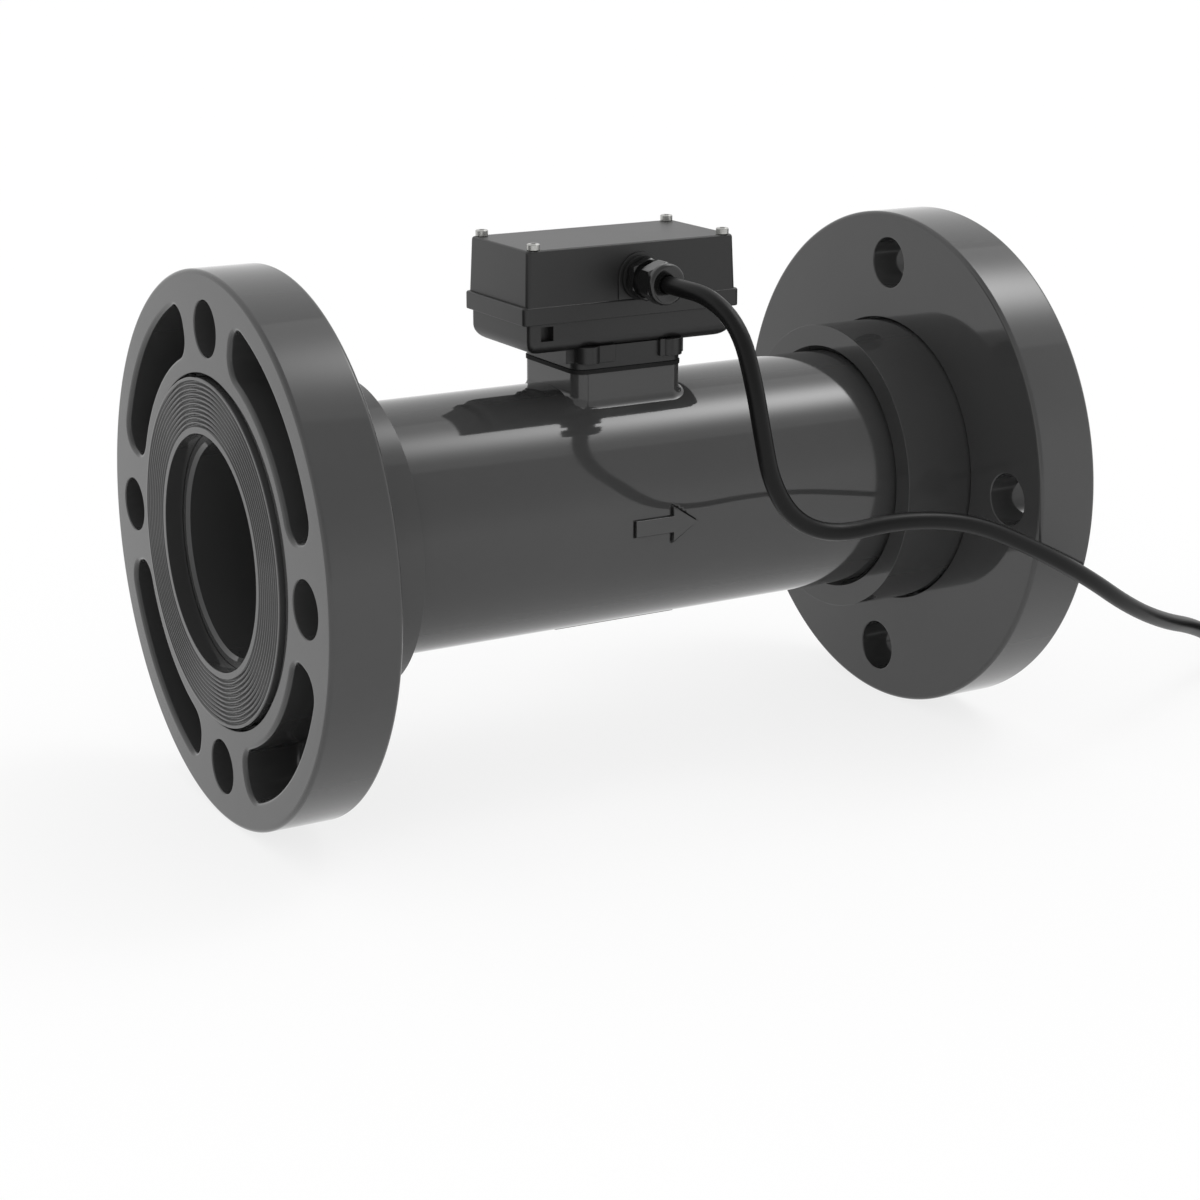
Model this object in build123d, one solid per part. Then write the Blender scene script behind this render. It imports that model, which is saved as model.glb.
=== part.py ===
from build123d import *
import math
import os

# An in-line turbine flow meter for three-inch pipe. All lengths are in millimetres.
# X runs along the pipe from inlet to outlet, Z is up, and the cable leaves towards -Y.
# The origin is the centre of the inlet flange ring's outer face.

# Pipe and flange, to the usual three-inch sizes
ring_face_to_face = 301.6
pipe_od = 88.9
pipe_wall = 7.62
flange_od = 190.5
bolt_circle = 152.4
bolt_hole_d = 19.05
bolt_count = 4

# Glued hub that carries each loose flange ring
hub_proud = 1.6
hub_disc_thickness = 13.0
hub_disc_step = 5.4
hub_collar_wall = 9.5
hub_length = 54.1
hub_lip_length = 6.5
hub_lip_cover = 3.95
hub_mouth_chamfer = 1.7
hub_edge_chamfer = 0.6
cement_gap = 0.1
seal_groove_count = 9
seal_groove_pitch = 1.6
seal_groove_depth = 0.45
seal_land_width = 3.6

# Loose flange ring with its bolt holes and moulded pockets
ring_thickness = 25.0
ring_collar_clearance = 0.6
ring_disc_clearance = 1.2
ring_end_float = 0.3
ring_edge_radius = 1.6
pocket_outer_wall = 10.4
pocket_inner_wall = 6.8
pocket_bolt_web = 11.2
pocket_corner_radius = 5.6
pocket_end_flat = 0.4
pocket_floor = 5.0
pocket_mouth_chamfer = 1.3

# Pedestal that rises from the pipe, and the arrow and plate moulded on it
pedestal_length = 44.0
pedestal_width = 40.0
pedestal_rise = 6.6
pedestal_corner_radius = 5.0
pedestal_foot_radius = 2.4
pipe_end_chamfer = 1.2
arrow_length = 24.8
arrow_head_length = 9.5
arrow_head_width = 12.6
arrow_shaft_width = 5.8
arrow_height = 1.0
plate_length = 49.6
plate_arc = 24.0
plate_thickness = 0.6

# Turbine inside the pipe
rotor_width = 18.0
rotor_side_gap = 1.8
rotor_tip_gap = 0.8
rotor_hub_r = 10.5
rotor_blades = 6
rotor_lead = 240.0
blade_root_thickness = 4.0
blade_tip_thickness = 3.4
blade_root_sink = 1.5
rotor_zone_step = 1.0
magnet_d = 2.4
magnet_length = 5.0
shaft_d = 4.0
shaft_running_gap = 0.04
shaft_end_gap = 0.25
bush_d = 8.0
bush_length = 7.0
support_length = 24.0
support_hub_r = 10.5
support_nose = 12.0
support_vanes = 6
support_vane_thickness = 2.0
support_rim = 2.4
support_fit = 0.05
snap_ring_width = 1.6
snap_ring_bite = 1.5
snap_ring_reach = 1.9
snap_ring_gap_angle = 26.0
snap_ring_lug_hole_d = 1.6
snap_ring_side_gap = 0.05

# Pickup in the pedestal
pickup_well_d = 18.4
pickup_well_floor = 4.2
pickup_d = 18.0
pickup_core_d = 7.0
pickup_flange = 1.6
pickup_height = 21.0
pickup_winding_inset = 0.8

# Electronics box: foot, tray, rim and cover
foot_gasket_thickness = 1.4
foot_gasket_lip = 0.35
foot_height = 7.2
foot_lug_height = 4.8
foot_lug_r = 4.4
foot_lug_inset_x = 5.2
foot_lug_inset_y = 1.4
foot_lug_proud = 1.3
foot_lug_shoulder = 7.4
foot_lug_shoulder_depth = 3.0
foot_lug_reach = 7.5
foot_lug_wall = 2.0
foot_lug_slot_depth = 3.5
foot_screw_inset_x = 7.0
foot_screw_inset_y = 6.5
foot_screw_d = 3.0
foot_screw_hole_d = 3.4
foot_screw_length = 18.0
foot_screw_head_d = 5.5
foot_screw_head_height = 3.0
box_wall = 2.4
tray_length = 83.0
tray_width = 43.0
tray_height = 10.8
tray_bottom_radius = 5.0
tray_corner_radius = 1.8
rim_length = 87.4
rim_width = 44.6
rim_height = 6.3
cover_length = 84.6
cover_width = 44.0
cover_height = 19.35
cover_draft = 2.0
cover_corner_radius = 1.8
cover_edge_radius = 1.0
cover_gasket_thickness = 1.0
cover_gasket_inset = 0.9
cover_gasket_width = 2.0
notch_x = 116.45
notch_width = 4.9
notch_height = 5.1
notch_drop = 0.9
notch_depth = 3.6
notch_backing = 1.4
cover_screw_inset_x = 3.4
cover_screw_inset_y = 2.3
cover_screw_d = 2.8
cover_screw_hole_gap = 0.1
cover_screw_head_d = 4.5
cover_screw_head_height = 2.2
cover_screw_head_round = 0.4
cover_screw_socket_af = 2.0
cover_screw_socket_depth = 1.1
cover_screw_bite = 7.0
cover_post_d = 6.4

# Circuit board in the tray
board_length = 66.0
board_width = 30.0
board_thickness = 1.6
board_post_height = 6.0
board_post_d = 5.0
board_post_inset = 4.0
board_screw_d = 2.5
board_screw_head_d = 4.4
board_screw_head_height = 1.6
board_screw_bite = 4.0
terminal_length = 15.0
terminal_width = 8.0
terminal_height = 7.5
terminal_ways = 3
terminal_offset_x = -10.0
chip_size = 10.0
chip_height = 2.0

# Cable gland in the cover's front wall
gland_offset_x = 2.55
gland_rise = 7.15
gland_pad_r = 8.9
gland_pad_proud = 0.5
gland_inner_pad = 1.0
gland_thread_d = 11.0
gland_hole_gap = 0.1
gland_bore_gap = 0.4
gland_inner_reach = 6.0
gland_seal_d = 15.6
gland_seal_thickness = 1.4
gland_hex_af = 13.4
gland_hex_thickness = 4.6
gland_neck_d = 10.6
gland_neck_gap = 3.7
gland_nut_length = 8.9
gland_nut_hex_length = 7.4
gland_nut_collar_d = 13.7
gland_nut_mouth_d = 8.2
gland_nut_front = 2.8
gland_nut_round = 1.3
gland_nut_thread_gap = 0.1
gland_hex_turn = 23.2
gland_hex_corner_trim = 0.35
gland_seal_insert_d = 8.8
gland_seal_insert_length = 7.0
locknut_thickness = 3.0

# Cable, its coil on the floor that the flanges stand on, and its stripped end
cable_d = 6.3
cable_inner_reach = 6.0
cable_straight_run = 9.5
cable_route = [
    (156.2, -63.0, 83.0),
    (158.6, -78.0, 74.1),
    (159.2, -86.0, 56.7),
    (161.7, -88.0, 38.9),
    (165.3, -88.5, 22.2),
    (174.6, -89.3, 8.0),
    (190.6, -91.0, 1.6),
    (214.6, -94.5, 4.8),
    (242.0, -98.2, 1.6),
    (266.0, -101.5, -9.5),
    (291.4, -103.5, -23.9),
    (317.7, -98.5, -40.8),
    (348.0, -85.0, -54.7),
    (380.4, -67.0, -66.4),
    (410.1, -50.0, -80.8),
]
cable_landing = (436.0, -37.6)
coil_lead_in = 26.0
coil_mid_turns = 3
coil_layers = 4
coil_mid_r = 34.65
coil_edge_radius = 2.5
tie_width = 12.0
tie_thickness = 0.8
tie_angle = 200.0
cable_end_start = 60.0
cable_end_sweep = 62.0
wire_count = 3
wire_d = 1.7
wire_sweep = 46.0
wire_spacing = 2.3
wire_strip_sweep = 10.0

# Places worked out from the sizes above
flange_r = flange_od / 2
pipe_r = pipe_od / 2
bore_r = pipe_r - pipe_wall
centre_x = ring_face_to_face / 2
floor_z = -flange_r
hub_face_x = -hub_proud
pipe_start_x = hub_face_x + hub_lip_length
hub_end_x = hub_face_x + hub_length
hub_disc_back_x = hub_face_x + hub_disc_thickness
hub_socket_r = pipe_r + cement_gap
hub_lip_r = pipe_r - hub_lip_cover
hub_collar_r = hub_socket_r + hub_collar_wall
hub_disc_r = hub_collar_r + hub_disc_step
ring_bore_r = hub_collar_r + ring_collar_clearance
ring_recess_r = hub_disc_r + ring_disc_clearance
ring_shoulder_x = hub_disc_back_x + ring_end_float
pocket_in_r = ring_recess_r + pocket_inner_wall
pocket_out_r = flange_r - pocket_outer_wall
pocket_corner_limit = (pocket_out_r - pocket_in_r - pocket_end_flat) / 2
pedestal_top_z = pipe_r + pedestal_rise
foot_bottom_z = pedestal_top_z + foot_gasket_thickness
tray_bottom_z = foot_bottom_z + foot_height
tray_top_z = tray_bottom_z + tray_height
rim_top_z = tray_top_z + rim_height
cover_top_z = rim_top_z + cover_height
tray_floor_z = tray_bottom_z + box_wall
board_bottom_z = tray_floor_z + board_post_height
board_top_z = board_bottom_z + board_thickness
rotor_zone_half = rotor_width / 2 + rotor_side_gap
rotor_zone_r = bore_r - rotor_zone_step
rotor_tip_r = rotor_zone_r - rotor_tip_gap
support_r = bore_r - support_fit
gland_x = centre_x + gland_offset_x
gland_z = rim_top_z + gland_rise


def turned(points):
    """A solid of revolution about X, from its (x, radius) corners."""
    return revolve(make_face(Polyline(*points, close=True)), Axis.X)


def tube(x_start, x_end, outer_r, inner_r):
    """A plain tube about X."""
    return turned([(x_start, inner_r), (x_end, inner_r), (x_end, outer_r), (x_start, outer_r)])


def rod(x_start, x_end, radius):
    """A plain rod about X."""
    return turned([(x_start, 0), (x_end, 0), (x_end, radius), (x_start, radius)])


def upright(x, y, z_start, z_end, radius):
    """A plain rod along Z."""
    return extrude(Plane(origin=(x, y, z_start)) * Circle(radius), z_end - z_start)


def slab(length, width, corner_radius, z_start, z_end, taper=0.0):
    """A block with rounded upright corners, centred over the pipe."""
    outline = Plane(origin=(centre_x, 0, z_start)) * RectangleRounded(length, width, corner_radius)
    return extrude(outline, z_end - z_start, taper=taper)


def corners(half_x, half_y):
    """The four corner places of a pattern centred over the pipe."""
    return [(centre_x + sx * half_x, sy * half_y) for sx in (-1, 1) for sy in (-1, 1)]


def to_outlet(solid):
    """Mirrors an inlet-side piece to the outlet side."""
    return mirror(solid, Plane(origin=(centre_x, 0, 0), z_dir=(1, 0, 0)))


def around_x(solid, count):
    """Copies of a solid, evenly spaced about X."""
    return [Rot(X=360 * i / count) * solid for i in range(count)]


def to_gland(solid):
    """Moves a piece made about X so that it lies along the gland's axis, with +X pointing out."""
    return Pos(gland_x, 0, gland_z) * Rot(Z=-90) * solid


# Meter body: pipe, pedestal and flow arrow in one moulding
def flow_arrow():
    tail = centre_x - arrow_length / 2
    tip = centre_x + arrow_length / 2
    neck = tip - arrow_head_length
    half_shaft = arrow_shaft_width / 2
    half_head = arrow_head_width / 2
    outline = Polyline(
        (tail, -half_shaft),
        (neck, -half_shaft),
        (neck, -half_head),
        (tip, 0),
        (neck, half_head),
        (neck, half_shaft),
        (tail, half_shaft),
        close=True,
    )
    arrow = extrude(Plane.XZ * make_face(outline), pipe_r + arrow_height)
    return arrow & rod(tail, tip, pipe_r + arrow_height)


def meter_body():
    x_end = ring_face_to_face - pipe_start_x
    pedestal = slab(pedestal_length, pedestal_width, pedestal_corner_radius, 0, pedestal_top_z)
    body = rod(pipe_start_x, x_end, pipe_r) + pedestal
    foot = [
        edge
        for edge in body.edges()
        if edge.center().Z > 0
        and abs(edge.center().X - centre_x) <= pedestal_length / 2 + 0.01
        and all(abs(math.hypot(v.Y, v.Z) - pipe_r) < 0.01 for v in edge.vertices())
        and abs(math.hypot(edge.position_at(0.5).Y, edge.position_at(0.5).Z) - pipe_r) < 0.01
    ]
    body = fillet(foot, pedestal_foot_radius)
    body += flow_arrow()
    body -= rod(pipe_start_x, x_end, rotor_zone_r)
    for sign in (-1, 1):
        shoulder = centre_x + sign * rotor_zone_half
        mouth = centre_x + sign * (centre_x - pipe_start_x)
        low, high = sorted((shoulder, mouth))
        body -= rod(low, high, bore_r)
        groove_near = shoulder + sign * (support_length + snap_ring_side_gap)
        groove_far = groove_near + sign * (snap_ring_width + 2 * snap_ring_side_gap)
        low, high = sorted((groove_near, groove_far))
        body -= rod(low, high, bore_r + snap_ring_bite)
        flare = mouth - sign * pipe_end_chamfer
        body -= turned([(flare, 0), (mouth, 0), (mouth, bore_r + pipe_end_chamfer), (flare, bore_r)])
    well_bottom = bore_r + pickup_well_floor
    body -= upright(centre_x, 0, well_bottom, pedestal_top_z, pickup_well_d / 2)
    for x, y in foot_screw_places():
        body -= upright(x, y, foot_screw_end_z(), pedestal_top_z, foot_screw_d / 2)
    return body


def underside_plate():
    half_arc = math.radians(plate_arc / 2)
    reach = (pipe_r + plate_thickness) * math.sin(half_arc)
    shell = tube(
        centre_x - plate_length / 2, centre_x + plate_length / 2, pipe_r + plate_thickness, pipe_r
    )
    return shell & Pos(centre_x, 0, -pipe_r) * Box(plate_length, 2 * reach, pipe_r / 2)


# Hub with its serrated sealing face, which carries the loose ring
def hub():
    face_x = hub_face_x
    outline = [(face_x, hub_lip_r)]
    groove_r = hub_disc_r - hub_edge_chamfer - seal_land_width / 4 - seal_groove_count * seal_groove_pitch
    for i in range(seal_groove_count):
        start = groove_r + i * seal_groove_pitch
        outline.append((face_x, start))
        outline.append((face_x + seal_groove_depth, start + seal_groove_pitch / 2))
    outline += [
        (face_x, groove_r + seal_groove_count * seal_groove_pitch),
        (face_x, hub_disc_r - hub_edge_chamfer),
        (face_x + hub_edge_chamfer, hub_disc_r),
        (hub_disc_back_x, hub_disc_r),
        (hub_disc_back_x, hub_collar_r),
        (hub_end_x - hub_edge_chamfer, hub_collar_r),
        (hub_end_x, hub_collar_r - hub_edge_chamfer),
        (hub_end_x, hub_socket_r + hub_mouth_chamfer),
        (hub_end_x - hub_mouth_chamfer, hub_socket_r),
        (pipe_start_x, hub_socket_r),
        (pipe_start_x, hub_lip_r),
    ]
    return turned(outline)


# Loose flange ring with bolt holes and kidney-shaped pockets
def pocket_outline():
    mid_r = (pocket_in_r + pocket_out_r) / 2
    half_angle = 180 / bolt_count - math.degrees(math.asin((bolt_hole_d / 2 + pocket_bolt_web) / mid_r))
    start, end = 180 / bolt_count - half_angle, 180 / bolt_count + half_angle

    def at(radius, angle):
        return (radius * math.cos(math.radians(angle)), radius * math.sin(math.radians(angle)))

    middle = 180 / bolt_count
    edges = [
        ThreePointArc(at(pocket_out_r, start), at(pocket_out_r, middle), at(pocket_out_r, end)),
        Line(at(pocket_out_r, end), at(pocket_in_r, end)),
        ThreePointArc(at(pocket_in_r, end), at(pocket_in_r, middle), at(pocket_in_r, start)),
        Line(at(pocket_in_r, start), at(pocket_out_r, start)),
    ]
    outline = make_face(edges)
    return fillet(outline.vertices(), min(pocket_corner_radius, pocket_corner_limit))


def flange_ring():
    profile = make_face(
        Polyline(
            (0, ring_recess_r),
            (ring_shoulder_x, ring_recess_r),
            (ring_shoulder_x, ring_bore_r),
            (ring_thickness, ring_bore_r),
            (ring_thickness, flange_r),
            (0, flange_r),
            close=True,
        )
    )
    rim_corners = profile.vertices().group_by(Axis.Y)[-1]
    ring = revolve(fillet(rim_corners, ring_edge_radius), Axis.X)
    hole = Pos(0, bolt_circle / 2, 0) * rod(0, ring_thickness, bolt_hole_d / 2)
    ring -= around_x(hole, bolt_count)
    pocket = extrude(Plane.YZ * pocket_outline(), ring_thickness - pocket_floor)
    ring -= around_x(pocket, bolt_count)
    mouths = [
        edge
        for edge in ring.edges().filter_by_position(Axis.X, -0.01, 0.01)
        if pocket_in_r - 0.5 < math.hypot(edge.position_at(0.5).Y, edge.position_at(0.5).Z) < pocket_out_r + 0.5
        and edge_clear_of_bolts(edge)
    ]
    return chamfer(mouths, pocket_mouth_chamfer)


def edge_clear_of_bolts(edge):
    """True for an edge whose two ends both lie further from every bolt hole than its own wall."""
    for place in (0.0, 0.5):
        point = edge.position_at(place)
        for i in range(bolt_count):
            angle = 2 * math.pi * i / bolt_count
            bolt_y, bolt_z = bolt_circle / 2 * math.cos(angle), bolt_circle / 2 * math.sin(angle)
            if math.hypot(point.Y - bolt_y, point.Z - bolt_z) < bolt_hole_d / 2 + 0.5:
                return False
    return True


# Rotor: twisted blades on a hub, with a magnet in each tip
def blade():
    sections = []
    for radius, thickness in (
        (rotor_hub_r - blade_root_sink, blade_root_thickness),
        ((rotor_hub_r + rotor_tip_r) / 2, (blade_root_thickness + blade_tip_thickness) / 2),
        (rotor_tip_r + blade_root_sink, blade_tip_thickness),
    ):
        pitch = math.atan2(2 * math.pi * radius, rotor_lead)
        chord = (rotor_width - thickness * math.sin(pitch)) / math.cos(pitch)
        plane = Plane(origin=(centre_x, 0, radius), x_dir=(math.cos(pitch), math.sin(pitch), 0), z_dir=(0, 0, 1))
        sections.append(plane * SlotOverall(chord, thickness))
    x_start, x_end = centre_x - rotor_width / 2, centre_x + rotor_width / 2
    return loft(sections) & rod(x_start, x_end, rotor_tip_r)


def magnet():
    return upright(centre_x, 0, rotor_tip_r - magnet_length, rotor_tip_r + blade_root_sink, magnet_d / 2) & rod(
        centre_x - magnet_d, centre_x + magnet_d, rotor_tip_r
    )


def rotor():
    x_start, x_end = centre_x - rotor_width / 2, centre_x + rotor_width / 2
    solid = rod(x_start, x_end, rotor_hub_r)
    for one in around_x(blade() - magnet(), rotor_blades):
        solid += one
    return solid - rod(x_start, x_end, shaft_d / 2)


def rotor_shaft():
    half = rotor_zone_half + bush_length - shaft_end_gap
    return rod(centre_x - half, centre_x + half, shaft_d / 2)


# Vaned support that straightens the flow and holds a bush
def support():
    inner_x = centre_x - rotor_zone_half
    outer_x = inner_x - support_length
    nose = make_face(
        [
            Line((inner_x, 0), (inner_x, support_hub_r)),
            Line((inner_x, support_hub_r), (outer_x + support_nose, support_hub_r)),
            EllipticalCenterArc(
                (outer_x + support_nose, 0), support_nose, support_hub_r, start_angle=90, arc_size=90
            ),
            Line((outer_x, 0), (inner_x, 0)),
        ]
    )
    solid = revolve(nose, Axis.X) + tube(outer_x, inner_x, support_r, support_r - support_rim)
    vane_start = outer_x + support_nose
    vane_length = inner_x - vane_start
    vane_reach = support_r - support_rim / 2 - support_hub_r / 2
    vane = Pos(vane_start + vane_length / 2, 0, support_hub_r / 2 + vane_reach / 2) * Box(
        vane_length, support_vane_thickness, vane_reach
    )
    for one in around_x(vane, support_vanes):
        solid += one
    return solid - rod(inner_x - bush_length, inner_x, bush_d / 2)


def bush():
    inner_x = centre_x - rotor_zone_half
    return tube(inner_x - bush_length, inner_x, bush_d / 2, shaft_d / 2 + shaft_running_gap)


def snap_ring():
    start = centre_x - rotor_zone_half - support_length - 2 * snap_ring_side_gap
    x_start, x_end = start - snap_ring_width, start
    outer_r = bore_r + snap_ring_bite - snap_ring_side_gap
    inner_r = bore_r - snap_ring_reach
    ring = tube(x_start, x_end, outer_r, inner_r)
    half_gap = math.radians(snap_ring_gap_angle / 2)
    wedge = make_face(
        Polyline(
            (0, 0),
            (-2 * outer_r * math.tan(half_gap), -2 * outer_r),
            (2 * outer_r * math.tan(half_gap), -2 * outer_r),
            close=True,
        )
    )
    ring -= Pos(x_start, 0, 0) * extrude(Plane.YZ * wedge, snap_ring_width)
    lug_r = snap_ring_lug_hole_d * 1.3
    for sign in (-1, 1):
        angle = sign * (half_gap + lug_r / inner_r)
        y, z = inner_r * math.sin(angle), -inner_r * math.cos(angle)
        ring += Pos(0, y, z) * rod(x_start, x_end, lug_r)
    for sign in (-1, 1):
        angle = sign * (half_gap + lug_r / inner_r)
        y, z = inner_r * math.sin(angle), -inner_r * math.cos(angle)
        ring -= Pos(0, y, z) * rod(x_start, x_end, snap_ring_lug_hole_d / 2)
    return ring


# Pickup coil that stands in the pedestal's well
def pickup_bobbin():
    bottom = bore_r + pickup_well_floor
    top = bottom + pickup_height
    radius, core = pickup_d / 2, pickup_core_d / 2
    return (
        upright(centre_x, 0, bottom, bottom + pickup_flange, radius)
        + upright(centre_x, 0, bottom, top, core)
        + upright(centre_x, 0, top - pickup_flange, top, radius)
    )


def pickup_winding():
    bottom = bore_r + pickup_well_floor + pickup_flange
    top = bore_r + pickup_well_floor + pickup_height - pickup_flange
    outer = upright(centre_x, 0, bottom, top, pickup_d / 2 - pickup_winding_inset)
    return outer - upright(centre_x, 0, bottom, top, pickup_core_d / 2)


# Electronics box
def foot_screw_places():
    return corners(pedestal_length / 2 - foot_screw_inset_x, pedestal_width / 2 - foot_screw_inset_y)


def foot_screw_end_z():
    return tray_floor_z - foot_screw_length


def foot_gasket():
    grow = 2 * foot_gasket_lip
    gasket = slab(
        pedestal_length + grow,
        pedestal_width + grow,
        pedestal_corner_radius + foot_gasket_lip,
        pedestal_top_z,
        foot_bottom_z,
    )
    gasket -= upright(centre_x, 0, pedestal_top_z, foot_bottom_z, pickup_well_d / 2)
    for x, y in foot_screw_places():
        gasket -= upright(x, y, pedestal_top_z, foot_bottom_z, foot_screw_hole_d / 2)
    return gasket


def foot_screws():
    return [
        upright(x, y, foot_screw_end_z(), tray_floor_z, foot_screw_d / 2)
        + upright(x, y, tray_floor_z, tray_floor_z + foot_screw_head_height, foot_screw_head_d / 2)
        for x, y in foot_screw_places()
    ]


def tray_block(length, width, corner_radius, bottom_radius, z_start, z_end):
    """A block with rounded upright corners and a larger radius along its bottom edges."""
    block = slab(length, width, corner_radius, z_start, z_end)
    long_side = make_face(Polyline(*tray_side(length, z_start, z_end), close=True))
    long_side = fillet(long_side.vertices().group_by(Axis.Y)[0], bottom_radius)
    short_side = make_face(Polyline(*tray_side(width, z_start, z_end), close=True))
    short_side = fillet(short_side.vertices().group_by(Axis.Y)[0], bottom_radius)
    along_y = extrude(Plane(origin=(centre_x, 0, 0), x_dir=(1, 0, 0), z_dir=(0, -1, 0)) * long_side, width, both=True)
    along_x = extrude(Plane(origin=(centre_x, 0, 0), x_dir=(0, 1, 0), z_dir=(1, 0, 0)) * short_side, length, both=True)
    return block & along_y & along_x


def tray_side(width, z_start, z_end):
    return [(-width / 2, z_start), (width / 2, z_start), (width / 2, z_end), (-width / 2, z_end)]


def foot_lug():
    """The lug at the foot's front inlet corner, and the slot in its side."""
    side = centre_x - pedestal_length / 2 - foot_lug_proud
    front = -pedestal_width / 2 - foot_lug_proud
    bottom = tray_bottom_z - foot_lug_height
    top = tray_bottom_z + tray_bottom_radius / 4
    boss_x = centre_x - pedestal_length / 2 + foot_lug_inset_x
    boss_y = -pedestal_width / 2 + foot_lug_inset_y
    place = (Align.MIN, Align.MIN, Align.MIN)
    cheek = Pos(side, boss_y, bottom) * Box(foot_lug_inset_x, foot_lug_reach - foot_lug_r, top - bottom, align=place)
    shoulder = Pos(boss_x, front, bottom) * Box(foot_lug_shoulder, foot_lug_shoulder_depth, top - bottom, align=place)
    slot_reach = foot_lug_reach - foot_lug_r - foot_lug_wall
    slot = Pos(side, boss_y, bottom) * Box(foot_lug_slot_depth, slot_reach, top - bottom, align=place)
    boss = upright(boss_x, boss_y, bottom, top, foot_lug_r)
    return cheek + shoulder, slot, boss


def four_ways(solid):
    """A solid with its mirror images at the foot's other three corners."""
    pair = [solid, to_outlet(solid)]
    return pair + [mirror(one, Plane.XZ) for one in pair]


def box_tray():
    tray = tray_block(
        tray_length, tray_width, tray_corner_radius, tray_bottom_radius, tray_bottom_z, rim_top_z
    )
    tray += slab(rim_length, rim_width, tray_corner_radius, tray_top_z, rim_top_z)
    tray += slab(
        pedestal_length, pedestal_width, pedestal_corner_radius, foot_bottom_z, tray_floor_z - box_wall / 2
    )
    block, slot, boss = foot_lug()
    for one in four_ways(block):
        tray += one
    for one in four_ways(slot):
        tray -= one
    for one in four_ways(boss):
        tray += one
    tray -= tray_block(
        tray_length - 2 * box_wall,
        tray_width - 2 * box_wall,
        tray_corner_radius / 2,
        tray_bottom_radius - box_wall,
        tray_floor_z,
        rim_top_z,
    )
    for x, y in cover_screw_places():
        post = upright(x, y, tray_floor_z, rim_top_z, cover_post_d / 2)
        tray += post & slab(tray_length, tray_width, tray_corner_radius, tray_floor_z, rim_top_z)
    tray -= gasket_outline(rim_top_z - cover_gasket_thickness, rim_top_z)
    backing_width = notch_width + 2 * notch_backing
    backing_depth = notch_depth + notch_backing
    front = -tray_width / 2
    notch_top = tray_top_z - notch_drop
    notch_bottom = notch_top - notch_height
    backing = Box(backing_width, backing_depth - 1, tray_top_z - tray_floor_z, align=(Align.CENTER, Align.MIN, Align.MIN))
    tray += Pos(notch_x, front + 1, tray_floor_z) * backing
    notch = Box(notch_width, notch_depth + 1, notch_height, align=(Align.CENTER, Align.MIN, Align.MIN))
    tray -= Pos(notch_x, front - 1, notch_bottom) * notch
    for x, y in board_post_places():
        tray += upright(x, y, tray_floor_z, board_bottom_z, board_post_d / 2)
        tray -= upright(x, y, board_bottom_z - board_screw_bite, board_bottom_z, board_screw_d / 2)
    tray -= upright(centre_x, 0, foot_bottom_z, tray_floor_z, pickup_well_d / 2)
    for x, y in foot_screw_places():
        tray -= upright(x, y, foot_bottom_z, tray_floor_z, foot_screw_hole_d / 2)
    for x, y in cover_screw_places():
        tray -= upright(x, y, cover_screw_end_z(), rim_top_z, cover_screw_d / 2)
    return tray


def gasket_outline(z_start, z_end):
    """The flat gasket's outer block, with its middle open."""
    length, width = cover_length - 2 * cover_gasket_inset, cover_width - 2 * cover_gasket_inset
    outer = slab(length, width, cover_corner_radius, z_start, z_end)
    open_length, open_width = length - 2 * cover_gasket_width, width - 2 * cover_gasket_width
    gasket = outer - slab(open_length, open_width, cover_corner_radius / 2, z_start, z_end)
    for x, y in cover_screw_places():
        gasket += outer & upright(x, y, z_start, z_end, cover_post_d / 2)
    return gasket


def cover_gasket():
    z_start = rim_top_z - cover_gasket_thickness
    gasket = gasket_outline(z_start, rim_top_z)
    for x, y in cover_screw_places():
        gasket -= upright(x, y, z_start, rim_top_z, cover_screw_d / 2 + cover_screw_hole_gap)
    return gasket


def cover_half_width(z):
    """The cover's half width at a height, with its draft."""
    return cover_width / 2 - (z - rim_top_z) * math.tan(math.radians(cover_draft))


def cover_screw_places():
    shrink = cover_height * math.tan(math.radians(cover_draft))
    return corners(
        cover_length / 2 - shrink - cover_screw_inset_x, cover_width / 2 - shrink - cover_screw_inset_y
    )


def cover_screw_end_z():
    return rim_top_z - cover_gasket_thickness - cover_screw_bite


def gland_pad(y_start, y_end):
    """An arch-topped pad on the cover's front wall, down to the rim."""
    outline = Plane(origin=(gland_x, y_start, gland_z), x_dir=(1, 0, 0), z_dir=(0, -1, 0)) * Circle(gland_pad_r)
    pad = extrude(outline, y_start - y_end)
    leg = Box(2 * gland_pad_r, y_start - y_end, gland_rise, align=(Align.CENTER, Align.MIN, Align.MIN))
    pad += Pos(gland_x, y_end, rim_top_z) * leg
    return pad & Pos(gland_x, (y_start + y_end) / 2, rim_top_z) * Box(
        4 * gland_pad_r, 2 * (y_start - y_end), cover_height - 1, align=(Align.CENTER, Align.CENTER, Align.MIN)
    )


def gland_pad_y():
    return -cover_half_width(rim_top_z) - gland_pad_proud


def gland_inner_y():
    return -cover_half_width(cover_top_z) + box_wall + gland_inner_pad


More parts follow.
